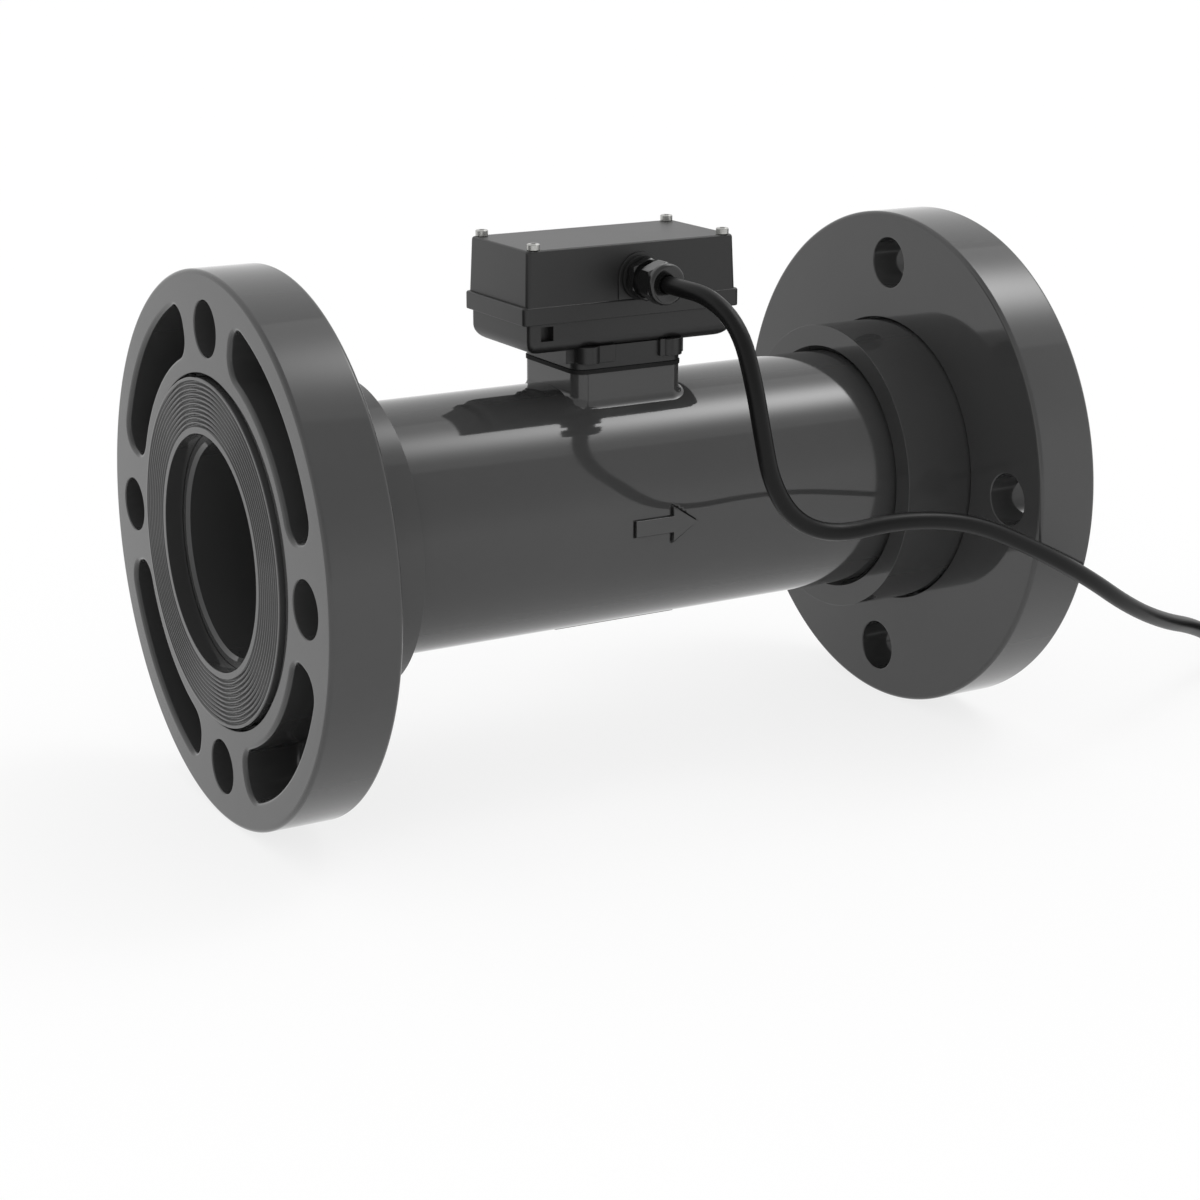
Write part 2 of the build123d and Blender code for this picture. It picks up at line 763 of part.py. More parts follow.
def box_cover():
    cover = slab(cover_length, cover_width, cover_corner_radius, rim_top_z, cover_top_z, taper=cover_draft)
    cover = fillet(cover.faces().sort_by(Axis.Z)[-1].edges(), cover_edge_radius)
    outside = cover
    cover -= slab(
        cover_length - 2 * box_wall,
        cover_width - 2 * box_wall,
        cover_corner_radius / 2,
        rim_top_z,
        cover_top_z - box_wall,
        taper=cover_draft,
    )
    for x, y in cover_screw_places():
        cover += outside & upright(x, y, rim_top_z, cover_top_z - box_wall / 2, cover_post_d / 2)
    cover += gland_pad(-cover_half_width(cover_top_z), gland_pad_y())
    cover += gland_pad(gland_inner_y(), -cover_half_width(cover_top_z) + box_wall / 2)
    for x, y in cover_screw_places():
        cover -= upright(x, y, rim_top_z, cover_top_z, cover_screw_d / 2 + cover_screw_hole_gap)
    hole_r = gland_thread_d / 2 + gland_hole_gap
    return cover - to_gland(rod(-gland_inner_y(), -gland_pad_y(), hole_r))


def cover_screws():
    screws = []
    for x, y in cover_screw_places():
        head_top = cover_top_z + cover_screw_head_height
        head = upright(x, y, cover_top_z, head_top, cover_screw_head_d / 2)
        head = fillet(head.edges().filter_by(GeomType.CIRCLE).sort_by(Axis.Z)[-1:], cover_screw_head_round)
        socket = Plane(origin=(x, y, head_top)) * RegularPolygon(cover_screw_socket_af / 2, 6, major_radius=False)
        head -= extrude(socket, -cover_screw_socket_depth)
        screws.append(head + upright(x, y, cover_screw_end_z(), cover_top_z, cover_screw_d / 2))
    return screws


# Circuit board with its terminal block
def board_post_places():
    return corners(board_length / 2 - board_post_inset, board_width / 2 - board_post_inset)


def circuit_board():
    board = slab(board_length, board_width, 1.5, board_bottom_z, board_top_z)
    chip = Box(chip_size, chip_size, chip_height, align=(Align.CENTER, Align.CENTER, Align.MIN))
    board += Pos(centre_x + board_length / 4, 0, board_top_z) * chip
    for x, y in board_post_places():
        board -= upright(x, y, board_bottom_z, board_top_z, board_screw_d / 2 + 0.1)
    return board


def board_screws():
    return [
        upright(x, y, board_bottom_z - board_screw_bite, board_top_z, board_screw_d / 2)
        + upright(x, y, board_top_z, board_top_z + board_screw_head_height, board_screw_head_d / 2)
        for x, y in board_post_places()
    ]


def terminal_block():
    block = Box(terminal_length, terminal_width, terminal_height, align=(Align.CENTER, Align.CENTER, Align.MIN))
    way = terminal_length / terminal_ways
    for i in range(terminal_ways):
        x = -terminal_length / 2 + (i + 0.5) * way
        block -= Pos(x, 0, terminal_height - 2) * Cylinder(way * 0.3, 2, align=(Align.CENTER, Align.CENTER, Align.MIN))
        mouth = Box(way * 0.55, 3, way * 0.6, align=(Align.CENTER, Align.MIN, Align.MIN))
        block -= Pos(x, -terminal_width / 2, 1.2) * mouth
    return Pos(centre_x + terminal_offset_x, 0, board_top_z) * block


# Cable gland, in its own frame: x is the distance out from the pipe's middle plane
def hexagon(x_start, x_end):
    """A hexagonal prism about X with its corners trimmed at both ends."""
    flat = extrude(Plane.YZ * RegularPolygon(gland_hex_af / 2, 6, major_radius=False, rotation=gland_hex_turn), x_end - x_start)
    corner_r = gland_hex_af / math.sqrt(3)
    trim = corner_r - gland_hex_corner_trim
    dome = turned(
        [
            (x_start, 0),
            (x_end, 0),
            (x_end, trim - gland_hex_corner_trim),
            (x_end - 2 * gland_hex_corner_trim, corner_r),
            (x_start + 2 * gland_hex_corner_trim, corner_r),
            (x_start, trim - gland_hex_corner_trim),
        ]
    )
    return Pos(x_start, 0, 0) * flat & dome


def gland_stations():
    """Distances along the gland's axis of its pad, seal, hexagon, neck and nut."""
    pad = -gland_pad_y()
    seal = pad + gland_seal_thickness
    hex_end = seal + gland_hex_thickness
    nut_start = hex_end + gland_neck_gap
    nut_end = nut_start + gland_nut_length
    return pad, seal, hex_end, nut_start, nut_end


def gland_seal():
    pad, seal, hex_end, nut_start, nut_end = gland_stations()
    return to_gland(tube(pad, seal, gland_seal_d / 2, gland_thread_d / 2))


def gland_body():
    pad, seal, hex_end, nut_start, nut_end = gland_stations()
    inner_end = -gland_inner_y() - gland_inner_reach
    shoulder = nut_end - gland_nut_front - gland_seal_insert_length
    body = rod(inner_end, seal, gland_thread_d / 2) + hexagon(seal, hex_end)
    body += rod(hex_end, nut_end - gland_nut_front, gland_neck_d / 2)
    body -= rod(inner_end, shoulder, cable_d / 2 + gland_bore_gap)
    return to_gland(body - rod(shoulder, nut_end, gland_seal_insert_d / 2))


def gland_insert():
    pad, seal, hex_end, nut_start, nut_end = gland_stations()
    end = nut_end - gland_nut_front
    return to_gland(tube(end - gland_seal_insert_length, end, gland_seal_insert_d / 2, cable_d / 2))


def gland_nut():
    pad, seal, hex_end, nut_start, nut_end = gland_stations()
    hex_stop = nut_start + gland_nut_hex_length
    collar = gland_nut_collar_d / 2
    front = make_face(
        Polyline((nut_start, 0), (nut_end, 0), (nut_end, collar), (nut_start, collar), close=True)
    )
    rounded_corner = front.vertices().sort_by_distance((nut_end, collar))[0]
    nut = revolve(fillet(rounded_corner, gland_nut_round), Axis.X) + hexagon(nut_start, hex_stop)
    nut -= rod(nut_start, nut_end - gland_nut_front, gland_neck_d / 2 + gland_nut_thread_gap)
    return to_gland(nut - rod(nut_start, nut_end, gland_nut_mouth_d / 2))


def gland_locknut():
    end = -gland_inner_y()
    return to_gland(hexagon(end - locknut_thickness, end) - rod(end - locknut_thickness, end, gland_thread_d / 2))


# Cable
def insert_front_y():
    return -(gland_stations()[4] - gland_nut_front)


def cable_points():
    """The route outside the gland, down to where it joins the coil on the floor."""
    start = (gland_x, insert_front_y(), gland_z)
    bend = (gland_x, insert_front_y() - cable_straight_run, gland_z)
    cable_z = floor_z + cable_d / 2
    landing = (*cable_landing, cable_z)
    return [start, bend, *cable_route, landing, (*coil_join(), cable_z)]


def lead_in_direction():
    dx = cable_landing[0] - cable_route[-1][0]
    dy = cable_landing[1] - cable_route[-1][1]
    length = math.hypot(dx, dy)
    return dx / length + 0.02, dy / length - 0.05


def coil_join():
    dx, dy = lead_in_direction()
    return cable_landing[0] + coil_lead_in * dx, cable_landing[1] + coil_lead_in * dy


def coil_outer_turn_r():
    return coil_mid_r + (coil_mid_turns - 1) / 2 * cable_d


def coil_centre():
    dx, dy = lead_in_direction()
    length = math.hypot(dx, dy)
    join_x, join_y = coil_join()
    return join_x + coil_outer_turn_r() * dy / length, join_y - coil_outer_turn_r() * dx / length


def route_radii(points):
    """The largest arc that each corner's two runs allow."""
    radii = []
    for before, corner, after in zip(points, points[1:], points[2:]):
        arriving, leaving = Vector(*corner) - Vector(*before), Vector(*after) - Vector(*corner)
        turn = math.radians(arriving.get_angle(leaving))
        radii.append(0.45 * min(arriving.length, leaving.length) / math.tan(turn / 2))
    return radii


def cable():
    points = cable_points()
    radii = route_radii(points)
    path = FilletPolyline(*points, radius=radii)
    solid = sweep(Plane(origin=path @ 0, z_dir=path % 0) * Circle(cable_d / 2), path=path)
    expected = math.pi * (cable_d / 2) ** 2 * path.length
    print("cable length", round(path.length, 1), "volume ratio", round(solid.volume / expected, 5))
    print("cable radii", [round(r, 1) for r in radii])
    return solid


def cable_inner():
    inner = -gland_inner_y() - gland_inner_reach - cable_inner_reach
    return to_gland(rod(inner, -insert_front_y(), cable_d / 2))


def coil_height():
    return coil_layers * cable_d


def coil_half_build():
    return coil_mid_turns * cable_d / 2


def coil_block(grow):
    """The coil's outer shape about Z, standing on the floor; grow is negative for the tied waist."""
    inner_r = coil_mid_r - coil_half_build() - grow
    outer_r = coil_mid_r + coil_half_build() + grow
    low, high = floor_z - grow, floor_z + coil_height() + grow
    profile = make_face(Polyline((inner_r, low), (outer_r, low), (outer_r, high), (inner_r, high), close=True))
    profile = fillet(profile.vertices(), coil_edge_radius)
    return revolve(Plane.XZ * profile, Axis.Z)


def tie_slice():
    """The wedge of space that the tie takes around the coil."""
    x, y = coil_mid_r * math.cos(math.radians(tie_angle)), coil_mid_r * math.sin(math.radians(tie_angle))
    block = Box(4 * coil_half_build(), tie_width, 4 * coil_height())
    return Pos(x, y, floor_z) * Rot(Z=tie_angle) * block


def coil_turned(solid):
    x, y = coil_centre()
    return Pos(x, y, 0) * solid


def cable_coil():
    solid = coil_block(0) - (tie_slice() - coil_block(-tie_thickness))
    tube_room = sweep_room()
    return coil_turned(solid) - tube_room


def sweep_room():
    """Where the cable's own tube reaches into the coil."""
    join_x, join_y = coil_join()
    dx, dy = lead_in_direction()
    axis = Plane(origin=(join_x, join_y, floor_z + cable_d / 2), z_dir=(-dx, -dy, 0))
    return extrude(axis * Circle(cable_d / 2), coil_lead_in)


def cable_tie():
    return coil_turned((coil_block(0) - coil_block(-tie_thickness)) & tie_slice())


def coil_arc(radius, z, start, sweep_angle, wire_radius):
    """A length of cable or wire bent round the coil's axis, turning clockwise seen from above."""
    path = CenterArc((0, 0), radius, start, -sweep_angle)
    path = Pos(0, 0, z) * path
    return sweep(Plane(origin=path @ 0, z_dir=path % 0) * Circle(wire_radius), path=path)


def cable_end():
    z = floor_z + coil_height() + cable_d / 2
    return coil_turned(coil_arc(coil_mid_r, z, cable_end_start, cable_end_sweep, cable_d / 2))


def cable_wires():
    z = floor_z + coil_height() + cable_d / 2
    start = cable_end_start - cable_end_sweep
    wires = []
    for i in range(wire_count):
        radius = coil_mid_r + (i - (wire_count - 1) / 2) * wire_spacing * 0.8
        wires.append(coil_turned(coil_arc(radius, z, start, wire_sweep - i * 4, wire_d / 2)))
    return wires


nodes = {
    "meter_body": meter_body(),
    "underside_plate": underside_plate(),
    "upstream_hub": hub(),
    "downstream_hub": to_outlet(hub()),
    "upstream_flange_ring": flange_ring(),
    "downstream_flange_ring": to_outlet(flange_ring()),
    "rotor": rotor(),
    "rotor_magnets": around_x(magnet(), rotor_blades),
    "rotor_shaft": rotor_shaft(),
    "upstream_support": support(),
    "downstream_support": to_outlet(support()),
    "upstream_bush": bush(),
    "downstream_bush": to_outlet(bush()),
    "upstream_snap_ring": snap_ring(),
    "downstream_snap_ring": to_outlet(snap_ring()),
    "pickup_bobbin": pickup_bobbin(),
    "pickup_winding": pickup_winding(),
    "foot_gasket": foot_gasket(),
    "foot_screws": foot_screws(),
    "box_tray": box_tray(),
    "cover_gasket": cover_gasket(),
    "box_cover": box_cover(),
    "cover_screws": cover_screws(),
    "circuit_board": circuit_board(),
    "board_screws": board_screws(),
    "terminal_block": terminal_block(),
    "gland_seal": gland_seal(),
    "gland_body": gland_body(),
    "gland_insert": gland_insert(),
    "gland_nut": gland_nut(),
    "gland_locknut": gland_locknut(),
    "cable_inner": cable_inner(),
    "cable": cable(),
    "cable_coil": cable_coil(),
    "cable_tie": cable_tie(),
    "cable_end": cable_end(),
    "cable_wires": cable_wires(),
}

os.makedirs("parts", exist_ok=True)
for name, shape in nodes.items():
    if isinstance(shape, list):
        shape = Compound(children=[solid for item in shape for solid in item.solids()])
    export_step(shape, f"parts/{name}.step")
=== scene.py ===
import math

import bmesh
import bpy
from mathutils import Matrix, Vector


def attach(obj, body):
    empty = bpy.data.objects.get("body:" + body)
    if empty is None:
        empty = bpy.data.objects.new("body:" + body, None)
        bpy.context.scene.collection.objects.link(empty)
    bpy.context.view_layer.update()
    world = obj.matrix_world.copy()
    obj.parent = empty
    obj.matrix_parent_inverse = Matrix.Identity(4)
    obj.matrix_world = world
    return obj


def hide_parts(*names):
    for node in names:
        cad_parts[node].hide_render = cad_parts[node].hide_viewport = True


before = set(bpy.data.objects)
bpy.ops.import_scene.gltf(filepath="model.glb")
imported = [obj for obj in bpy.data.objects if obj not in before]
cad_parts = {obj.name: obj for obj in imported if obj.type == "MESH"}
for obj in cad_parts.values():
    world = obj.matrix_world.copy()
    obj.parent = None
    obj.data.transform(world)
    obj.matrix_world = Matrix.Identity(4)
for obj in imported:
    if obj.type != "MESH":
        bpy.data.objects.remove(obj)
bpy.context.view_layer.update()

# Sizes in millimetres; the meter's own unit is the metre
MM = 0.001
TINY = 1e-5
FULL_TURN = 2 * math.pi
SIDES = ("upstream", "downstream")
RING_TO_RING = 301.6
CENTRE_X = RING_TO_RING / 2
CUT_PAST = 1.0

# Into how many steps whole turns and rounded edges are divided
BODY_TURN = 256
SUPPORT_TURN = 192
GLAND_TURN = 144
SMALL_TURN = 96
ROD_TURN = 64
SCREW_TURN = 48
EDGE_STEPS = 3
RIM_STEPS = 4
NOSE_STEPS = 5
ROUND_STEPS = 6
POCKET_STEPS = 7
CORNER_STEPS = 8
CURVE_STEPS = 24

# Angles in degrees from which an edge is bevelled or shaded crisp
BEVEL_ANGLE = 35.0
CRISP_ANGLE = 30.0
CRISP_GROOVES = 20.0
CRISP_TRAY = 25.0
CRISP_TURNED = 38.0
CRISP_CURVED = 40.0

# Loose flange rings
RING_R = 95.25
RING_THICK = 25.0
RING_RECESS_R = 60.65
RING_SHOULDER_X = 11.7
RING_BORE_R = 54.65
RING_EDGE = 1.6
RING_INNER_EDGE = 0.5
BOLT_R = 76.2
HOLE_R = 9.525
HOLE_EDGE = 0.5
HOLE_COUNT = 4
POCKET_IN_R = 67.45
POCKET_OUT_R = 84.85
POCKET_START = 15.8
POCKET_END = 74.2
POCKET_CORNER = 7.4
POCKET_DEPTH = 20.0
POCKET_MOUTH = 1.7
POCKET_ROOT = 1.6

# Hubs
HUB_FACE_X = -1.6
HUB_LIP_R = 40.5
HUB_LIP_EDGE = 0.2
HUB_LIP_BACK_EDGE = 0.4
HUB_DISC_R = 59.45
HUB_DISC_BACK_X = 11.4
HUB_COLLAR_R = 54.05
HUB_END_X = 52.5
HUB_SOCKET_R = 44.55
HUB_MOUTH = 1.7
HUB_EDGE = 0.4
COLLAR_EDGE = 0.12
GROOVE_START_R = 42.7
GROOVE_PITCH = 1.6
GROOVE_DEPTH = 1.0
GROOVE_LAND = 0.3
GROOVE_CREST = 0.08
GROOVE_ROOT = 0.12
GROOVES = 10

# Pipe
PIPE_R = 44.45
BORE_R = 36.83
ZONE_R = 35.83
ZONE_HALF = 10.8
PIPE_START_X = 4.9
PIPE_EDGE = 0.4
PIPE_FLARE = 1.2
SUPPORT_LENGTH = 24.0
SNAP_GAP = 0.05
SNAP_WIDTH = 1.6
SNAP_BITE = 1.5
FINE_SKIN = 30.0
FINE_STEP = 1.5

# Pedestal, arrow and plate
PEDESTAL_HALF_X = 22.0
PEDESTAL_HALF_Y = 20.0
PEDESTAL_CORNER = 5.0
PEDESTAL_TOP_Z = 51.05
PEDESTAL_TOP_ROUND = ((0.3, 0.0), (0.08, -0.1), (0.0, -0.3))
PEDESTAL_SKIRT = 2.4
PEDESTAL_SINK = 0.05
PEDESTAL_ROOT = 3.95
WELL_R = 9.2
WELL_FLOOR_Z = 41.03
ARROW_LENGTH = 24.8
ARROW_HEAD = 9.5
ARROW_HEAD_HALF = 6.3
ARROW_SHAFT_HALF = 2.9
ARROW_RISE = 1.0
ARROW_REACH = 2.0
ARROW_EDGE = 0.2
ARROW_MARGIN = 0.3
ARROW_SINK = 0.35
PLATE_LENGTH = 49.6
PLATE_HALF_ARC = 12.0
PLATE_THICK = 0.6
PLATE_SINK = 0.02
PLATE_EDGE = 0.12
PLATE_EDGE_STEPS = 2

# Box: foot, tray, rim and cover
FOOT_BOTTOM_Z = 52.45
FOOT_TOP_Z = 60.5
FOOT_EDGE = 0.3
TRAY_BOTTOM_Z = 59.65
TRAY_TOP_Z = 70.45
TRAY_HALF_X = 41.5
TRAY_HALF_Y = 21.5
TRAY_CORNER = 1.8
TRAY_BOTTOM_EDGE = 5.0
TRAY_FLOOR_INSET = 2.0
RIM_HALF_X = 43.7
RIM_HALF_Y = 22.3
RIM_TOP_Z = 76.75
RIM_EDGE = 0.35
RIM_TOP_EDGE = 0.8
BOX_WALL = 2.4
COVER_SINK = 0.3
COVER_HALF_X = 42.3
COVER_HALF_Y = 22.0
COVER_TOP_Z = 96.1
COVER_DRAFT = 2.0
COVER_EDGE = 1.0
LUG_R = 4.4
LUG_INSET_X = 5.2
LUG_INSET_Y = 1.4
LUG_PROUD = 1.3
LUG_HEIGHT = 4.8
LUG_SHOULDER_IN = 10.0
LUG_SHOULDER_OUT = 5.4
LUG_CHEEK_IN = 2.5
LUG_SHOULDER_DEPTH = 3.0
LUG_REACH = 7.5
LUG_WALL = 2.0
LUG_SLOT = 3.5
LUG_OVERLAP = 0.5
LUG_TOP_Z = 60.9
LUG_EDGE = 0.25
NOTCH_X = 116.45
NOTCH_HALF = 2.45
NOTCH_LOW_Z = 64.45
NOTCH_HIGH_Z = 69.55
NOTCH_DEPTH = 3.6
NOTCH_WALL = 1.4
SCREW_X = 38.22
SCREW_Y = 19.02
SCREW_HEAD_R = 2.25
SCREW_HEAD_HEIGHT = 2.2
SCREW_ROUND = 0.4
SCREW_FOOT = 0.15
SOCKET_AF = 2.0
SOCKET_MOUTH = 0.1
SOCKET_DEPTH = 1.1
SOCKET_TIP_R = 0.2
SOCKET_TIP = 0.3

# Gland, measured outward along its axis
GLAND_X = 153.35
GLAND_Z = 83.9
PAD_R = 8.9
PAD_BACK = 20.6
PAD_FRONT = 22.5
PAD_EDGE = 0.25
PAD_LIFT = 0.02
SEAL_R = 7.8
SEAL_END = 23.9
SEAL_EDGE = 0.3
HEX_AF = 13.4
HEX_CORNER = HEX_AF / math.sqrt(3)
HEX_BLUNT = 0.12
HEX_TURN = 23.2
HEX_TRIM = 0.7
HEX_END = 28.5
NECK_R = 5.3
NUT_START = 32.2
NUT_HEX_END = 38.4
NUT_END = 41.1
NUT_COLLAR_R = 7.2
NUT_STEP = 0.02
NUT_CHAMFER = 0.3
NUT_ROUND = 1.3
NUT_MOUTH_R = 3.4
NUT_CONE_R = 5.7
NUT_CONE_DEPTH = 0.5
NUT_BORE_R = 5.4
GLAND_FRONT = 38.3
GLAND_INNER = 11.0
GLAND_THREAD_R = 5.5
GLAND_BORE_R = 3.55
GLAND_INSERT_R = 4.4
GLAND_INSERT_LENGTH = 7.0

# Turbine
HUB_R = 10.5
ROTOR_HALF = 9.0
ROTOR_EDGE = 0.5
ROTOR_TIP_R = 34.98
BLADE_ROOT_R = 9.0
BLADE_COUNT = 6
BLADE_LEAD = 240.0
BLADE_ROOT_THICK = 4.0
BLADE_TIP_THICK = 3.4
BLADE_SECTIONS = 14
BLADE_NOSE_STEPS = 10
SHAFT_R = 2.0
BUSH_R = 4.0
BUSH_LENGTH = 7.0
SUPPORT_NOSE = 12.0
SUPPORT_NOSE_STEPS = 16
SUPPORT_R = 36.78
SUPPORT_RIM = 2.4
SUPPORT_EDGE = 0.3
VANE_THICK = 2.0
VANE_COUNT = 6
VANE_NOSE = 0.8
VANE_TAIL = 0.2

# Cable, its coil, strap and wires; angles along the coil's path are in degrees
CABLE_R = 3.15
CABLE_CURVE_STEPS = 6
CABLE_ROUND_STEPS = 4
CABLE_ROUTE = [
    (153.35, -38.3, 83.9),
    (153.35, -47.8, 83.9),
    (156.2, -63.0, 83.0),
    (158.6, -78.0, 74.1),
    (159.2, -86.0, 56.7),
    (161.7, -88.0, 38.9),
    (165.3, -88.5, 22.2),
    (174.6, -89.3, 8.0),
    (190.6, -91.0, 1.6),
    (214.6, -94.5, 4.8),
    (242.0, -98.2, 1.6),
    (266.0, -101.5, -9.5),
    (291.4, -103.5, -23.9),
    (317.7, -98.5, -40.8),
    (348.0, -85.0, -54.7),
    (380.4, -67.0, -66.4),
    (410.1, -50.0, -80.8),
    (436.0, -37.6, -92.1),
]
COIL_CENTRE = (475.65, -65.5)
COIL_OUTER = 40.95
COIL_MIDDLE = 34.65
COIL_INNER = 28.35
COIL_FLOOR_Z = -92.1
COIL_LAYER = 6.3
COIL_LAYERS = 4
COIL_JOIN = 112.5
COIL_STEP = 20.0
COIL_POLYGON = 0.986
COIL_END = 4074.5
COIL_BLEND = 35.0
COIL_PERIOD = 1000.0
COIL_SHIFTS = (330.0, 690.0)
COIL_CLIMB = 1010.0
COIL_LAST_CLIMB = 3945.0
COIL_LAST_SHIFT = 3990.0
WIRE_R = 0.85
WIRE_START = -2.0
WIRE_SWEEPS = (46.0, 42.0, 38.0)
WIRE_GAP = 1.84
WIRE_SINK = 4.0
WIRE_PINCH = 0.6
WIRE_STEPS = 14
TIE_ANGLE = 200.0
TIE_WIDTH = 12.0
TIE_THICK = 0.9
TIE_CORNER = 3.0
TIE_EDGE = 0.15

# Floor, room, bright patch and lamp; directions point from the meter toward them, widths are in degrees
FLOOR_GLOW = 0.8
FLOOR_HALF = 6.0
FLOOR_Z = -95.25
WORLD_LIGHT = 0.92
ROOM_DARK_SIDE = 0.62
ROOM_DARK_TOWARD = (-0.2, -0.6, 0.77)
ROOM_DARK_START = 0.4
ROOM_DARK_FULL = 0.8
KEY_TOWARD = (0.56, -0.02, 0.828)
KEY_PEAK = 6.1
KEY_SOFTNESS = 7.3
SUN_POWER = 0.15
SUN_SPREAD = 50.0

# Camera, its place in metres, its turn and dip in degrees, and its lens
CAMERA_AT = (-0.29843, -0.77442, 0.22827)
CAMERA_TURN = -29.945
CAMERA_DIP = 15.266
LENS_LENGTH = 76.06
SENSOR_WIDTH = 36.0
LENS_SHIFT = (0.00438, -0.0499)
VIEW_FROM = 0.01
VIEW_TO = 50.0

# How much the cloudy flow marks, rubs and brushed lines change the gloss
FLOW_LESS = 0.03
FLOW_MORE = 0.04
BRUSH_LESS = 0.07
BRUSH_MORE = 0.09
RUB_FROM = 0.62
RUB_FULL = 0.8
RUB_SCALE = 9.0
RUB_STRETCH = (9.0, 60.0, 60.0)
RUB_TURN = (0.3, 0.2, 0.1)
SWELL_SHARE = 6


# Flat outlines and solid shapes, all in millimetres
def quarter(steps, first=0):
    """Sine and cosine at the steps of a quarter turn."""
    angles = [math.pi / 2 * i / steps for i in range(first, steps + 1)]
    return [(math.sin(angle), math.cos(angle)) for angle in angles]


def around(steps, start=0.0):
    """The angles that divide a full turn into steps."""
    return [start + FULL_TURN * i / steps for i in range(steps)]


def hexagon(across_flats, angle):
    """Distance from a hexagon's middle to its side, the angle counted from a corner."""
    sixth = math.pi / 3
    return across_flats / 2 / math.cos(angle % sixth - sixth / 2)


def softened(corners, steps=NOSE_STEPS):
    """A closed outline of (u, v, radius) corners with each corner rounded by its radius."""
    outline = []
    for i, (u, v, radius) in enumerate(corners):
        here = Vector((u, v))
        if radius <= 0:
            outline.append(tuple(here))
            continue
        before = (Vector(corners[i - 1][:2]) - here).normalized()
        after = (Vector(corners[(i + 1) % len(corners)][:2]) - here).normalized()
        half = before.angle(after) / 2
        centre = here + (before + after).normalized() * radius / math.sin(half)
        start = here + before * radius / math.tan(half) - centre
        end = here + after * radius / math.tan(half) - centre
        sweep = start.angle_signed(end)
        for k in range(steps + 1):
            turn = Matrix.Rotation(-sweep * k / steps, 2)
            outline.append(tuple(centre + turn @ start))
    return outline


def stacked(loops, closed=False):
    """A solid whose skin joins loops of equally many points; closed joins the last loop to the first."""
    shape = bmesh.new()
    rings = [[shape.verts.new(point) for point in loop] for loop in loops]
    count = len(rings[0])
    pairs = list(zip(rings, rings[1:]))
    if closed:
        pairs.append((rings[-1], rings[0]))
    else:
        shape.faces.new(rings[0])
        shape.faces.new(rings[-1])
    for low, high in pairs:
        for i in range(count):
            j = (i + 1) % count
            shape.faces.new((low[i], low[j], high[j], high[i]))
    bmesh.ops.remove_doubles(shape, verts=shape.verts, dist=TINY)
    bmesh.ops.dissolve_degenerate(shape, edges=shape.edges, dist=TINY)
    bmesh.ops.recalc_face_normals(shape, faces=shape.faces)
    return shape


def upright(outline, low_z, high_z):
    """A prism over a flat (x, y) outline, between two heights."""
    return stacked([[(x, y, z) for x, y in outline] for z in (low_z, high_z)])


def upright_rod(x, y, low_z, high_z, radius):
    outline = [(x + radius * math.cos(a), y + radius * math.sin(a)) for a in around(ROD_TURN)]
    return upright(outline, low_z, high_z)


def brick(low, high):
    """A block between two opposite corners."""
    outline = [(low[0], low[1]), (high[0], low[1]), (high[0], high[1]), (low[0], high[1])]
    return upright(outline, low[2], high[2])


def lathed(profile, steps):
    """A closed (x, r) profile turned about the X axis."""
    loops = [[(x, r * math.sin(a), r * math.cos(a)) for x, r in profile] for a in around(steps)]
    return stacked(loops, closed=True)


def moved(shape, matrix):
    bmesh.ops.transform(shape, matrix=matrix, verts=shape.verts)
    bmesh.ops.recalc_face_normals(shape, faces=shape.faces)
    return shape


def mirrored_to_outlet(shape):
    return moved(shape, Matrix.Translation((RING_TO_RING, 0, 0)) @ Matrix.Scale(-1, 4, (1, 0, 0)))


def along_gland(shape):
    """Turns a shape made about X so that it lies along the gland's axis, +X pointing outward."""
    return moved(shape, Matrix.Translation((GLAND_X, 0, GLAND_Z)) @ Matrix.Rotation(-math.pi / 2, 4, "Z"))


def together(*shapes):
    """One shape that holds all the others as separate closed skins."""
    whole = bmesh.new()
    for shape in shapes:
        mesh = bpy.data.meshes.new("part")
        shape.to_mesh(mesh)
        shape.free()
        whole.from_mesh(mesh)
        bpy.data.meshes.remove(mesh)
    return whole


def box_loop(half_x, half_y, corner, z, steps=ROUND_STEPS):
    """A rounded rectangle about the box's middle, at a height."""
    signs = ((1, 1), (-1, 1), (-1, -1), (1, -1))
    outline = softened([(CENTRE_X + a * half_x, b * half_y, corner) for a, b in signs], steps)
    return [(x, y, z) for x, y in outline]


def pedestal_loop(grow, z):
    """The outline that pedestal and foot share, grown all round, at a height."""
    return box_loop(PEDESTAL_HALF_X + grow, PEDESTAL_HALF_Y + grow, PEDESTAL_CORNER + grow, z, CORNER_STEPS)


# Objects from shapes
def linked(name, data):
    """A scene object that shows a mesh, curve, lamp or camera."""
    made = bpy.data.objects.new(name, data)
    bpy.context.scene.collection.objects.link(made)
    return made


def placed(name, shape):
    """A scene object in metres from a shape in millimetres."""
    moved(shape, Matrix.Scale(MM, 4))
    mesh = bpy.data.meshes.new(name)
    shape.to_mesh(mesh)
    shape.free()
    return linked(name, mesh)


def baked(piece):
    """Applies a piece's modifiers to its mesh."""
    graph = bpy.context.evaluated_depsgraph_get()
    mesh = bpy.data.meshes.new_from_object(piece.evaluated_get(graph))
    old = piece.data
    piece.modifiers.clear()
    piece.data = mesh
    bpy.data.meshes.remove(old)
    return piece


def carved(piece, shape, operation="DIFFERENCE"):
    """Cuts a shape out of a piece, or joins or intersects them."""
    tool = placed("tool", shape)
    carve = piece.modifiers.new("carve", "BOOLEAN")
    carve.operation = operation
    carve.solver = "EXACT"
    carve.object = tool
    baked(piece)
    bpy.data.objects.remove(tool)
    return piece


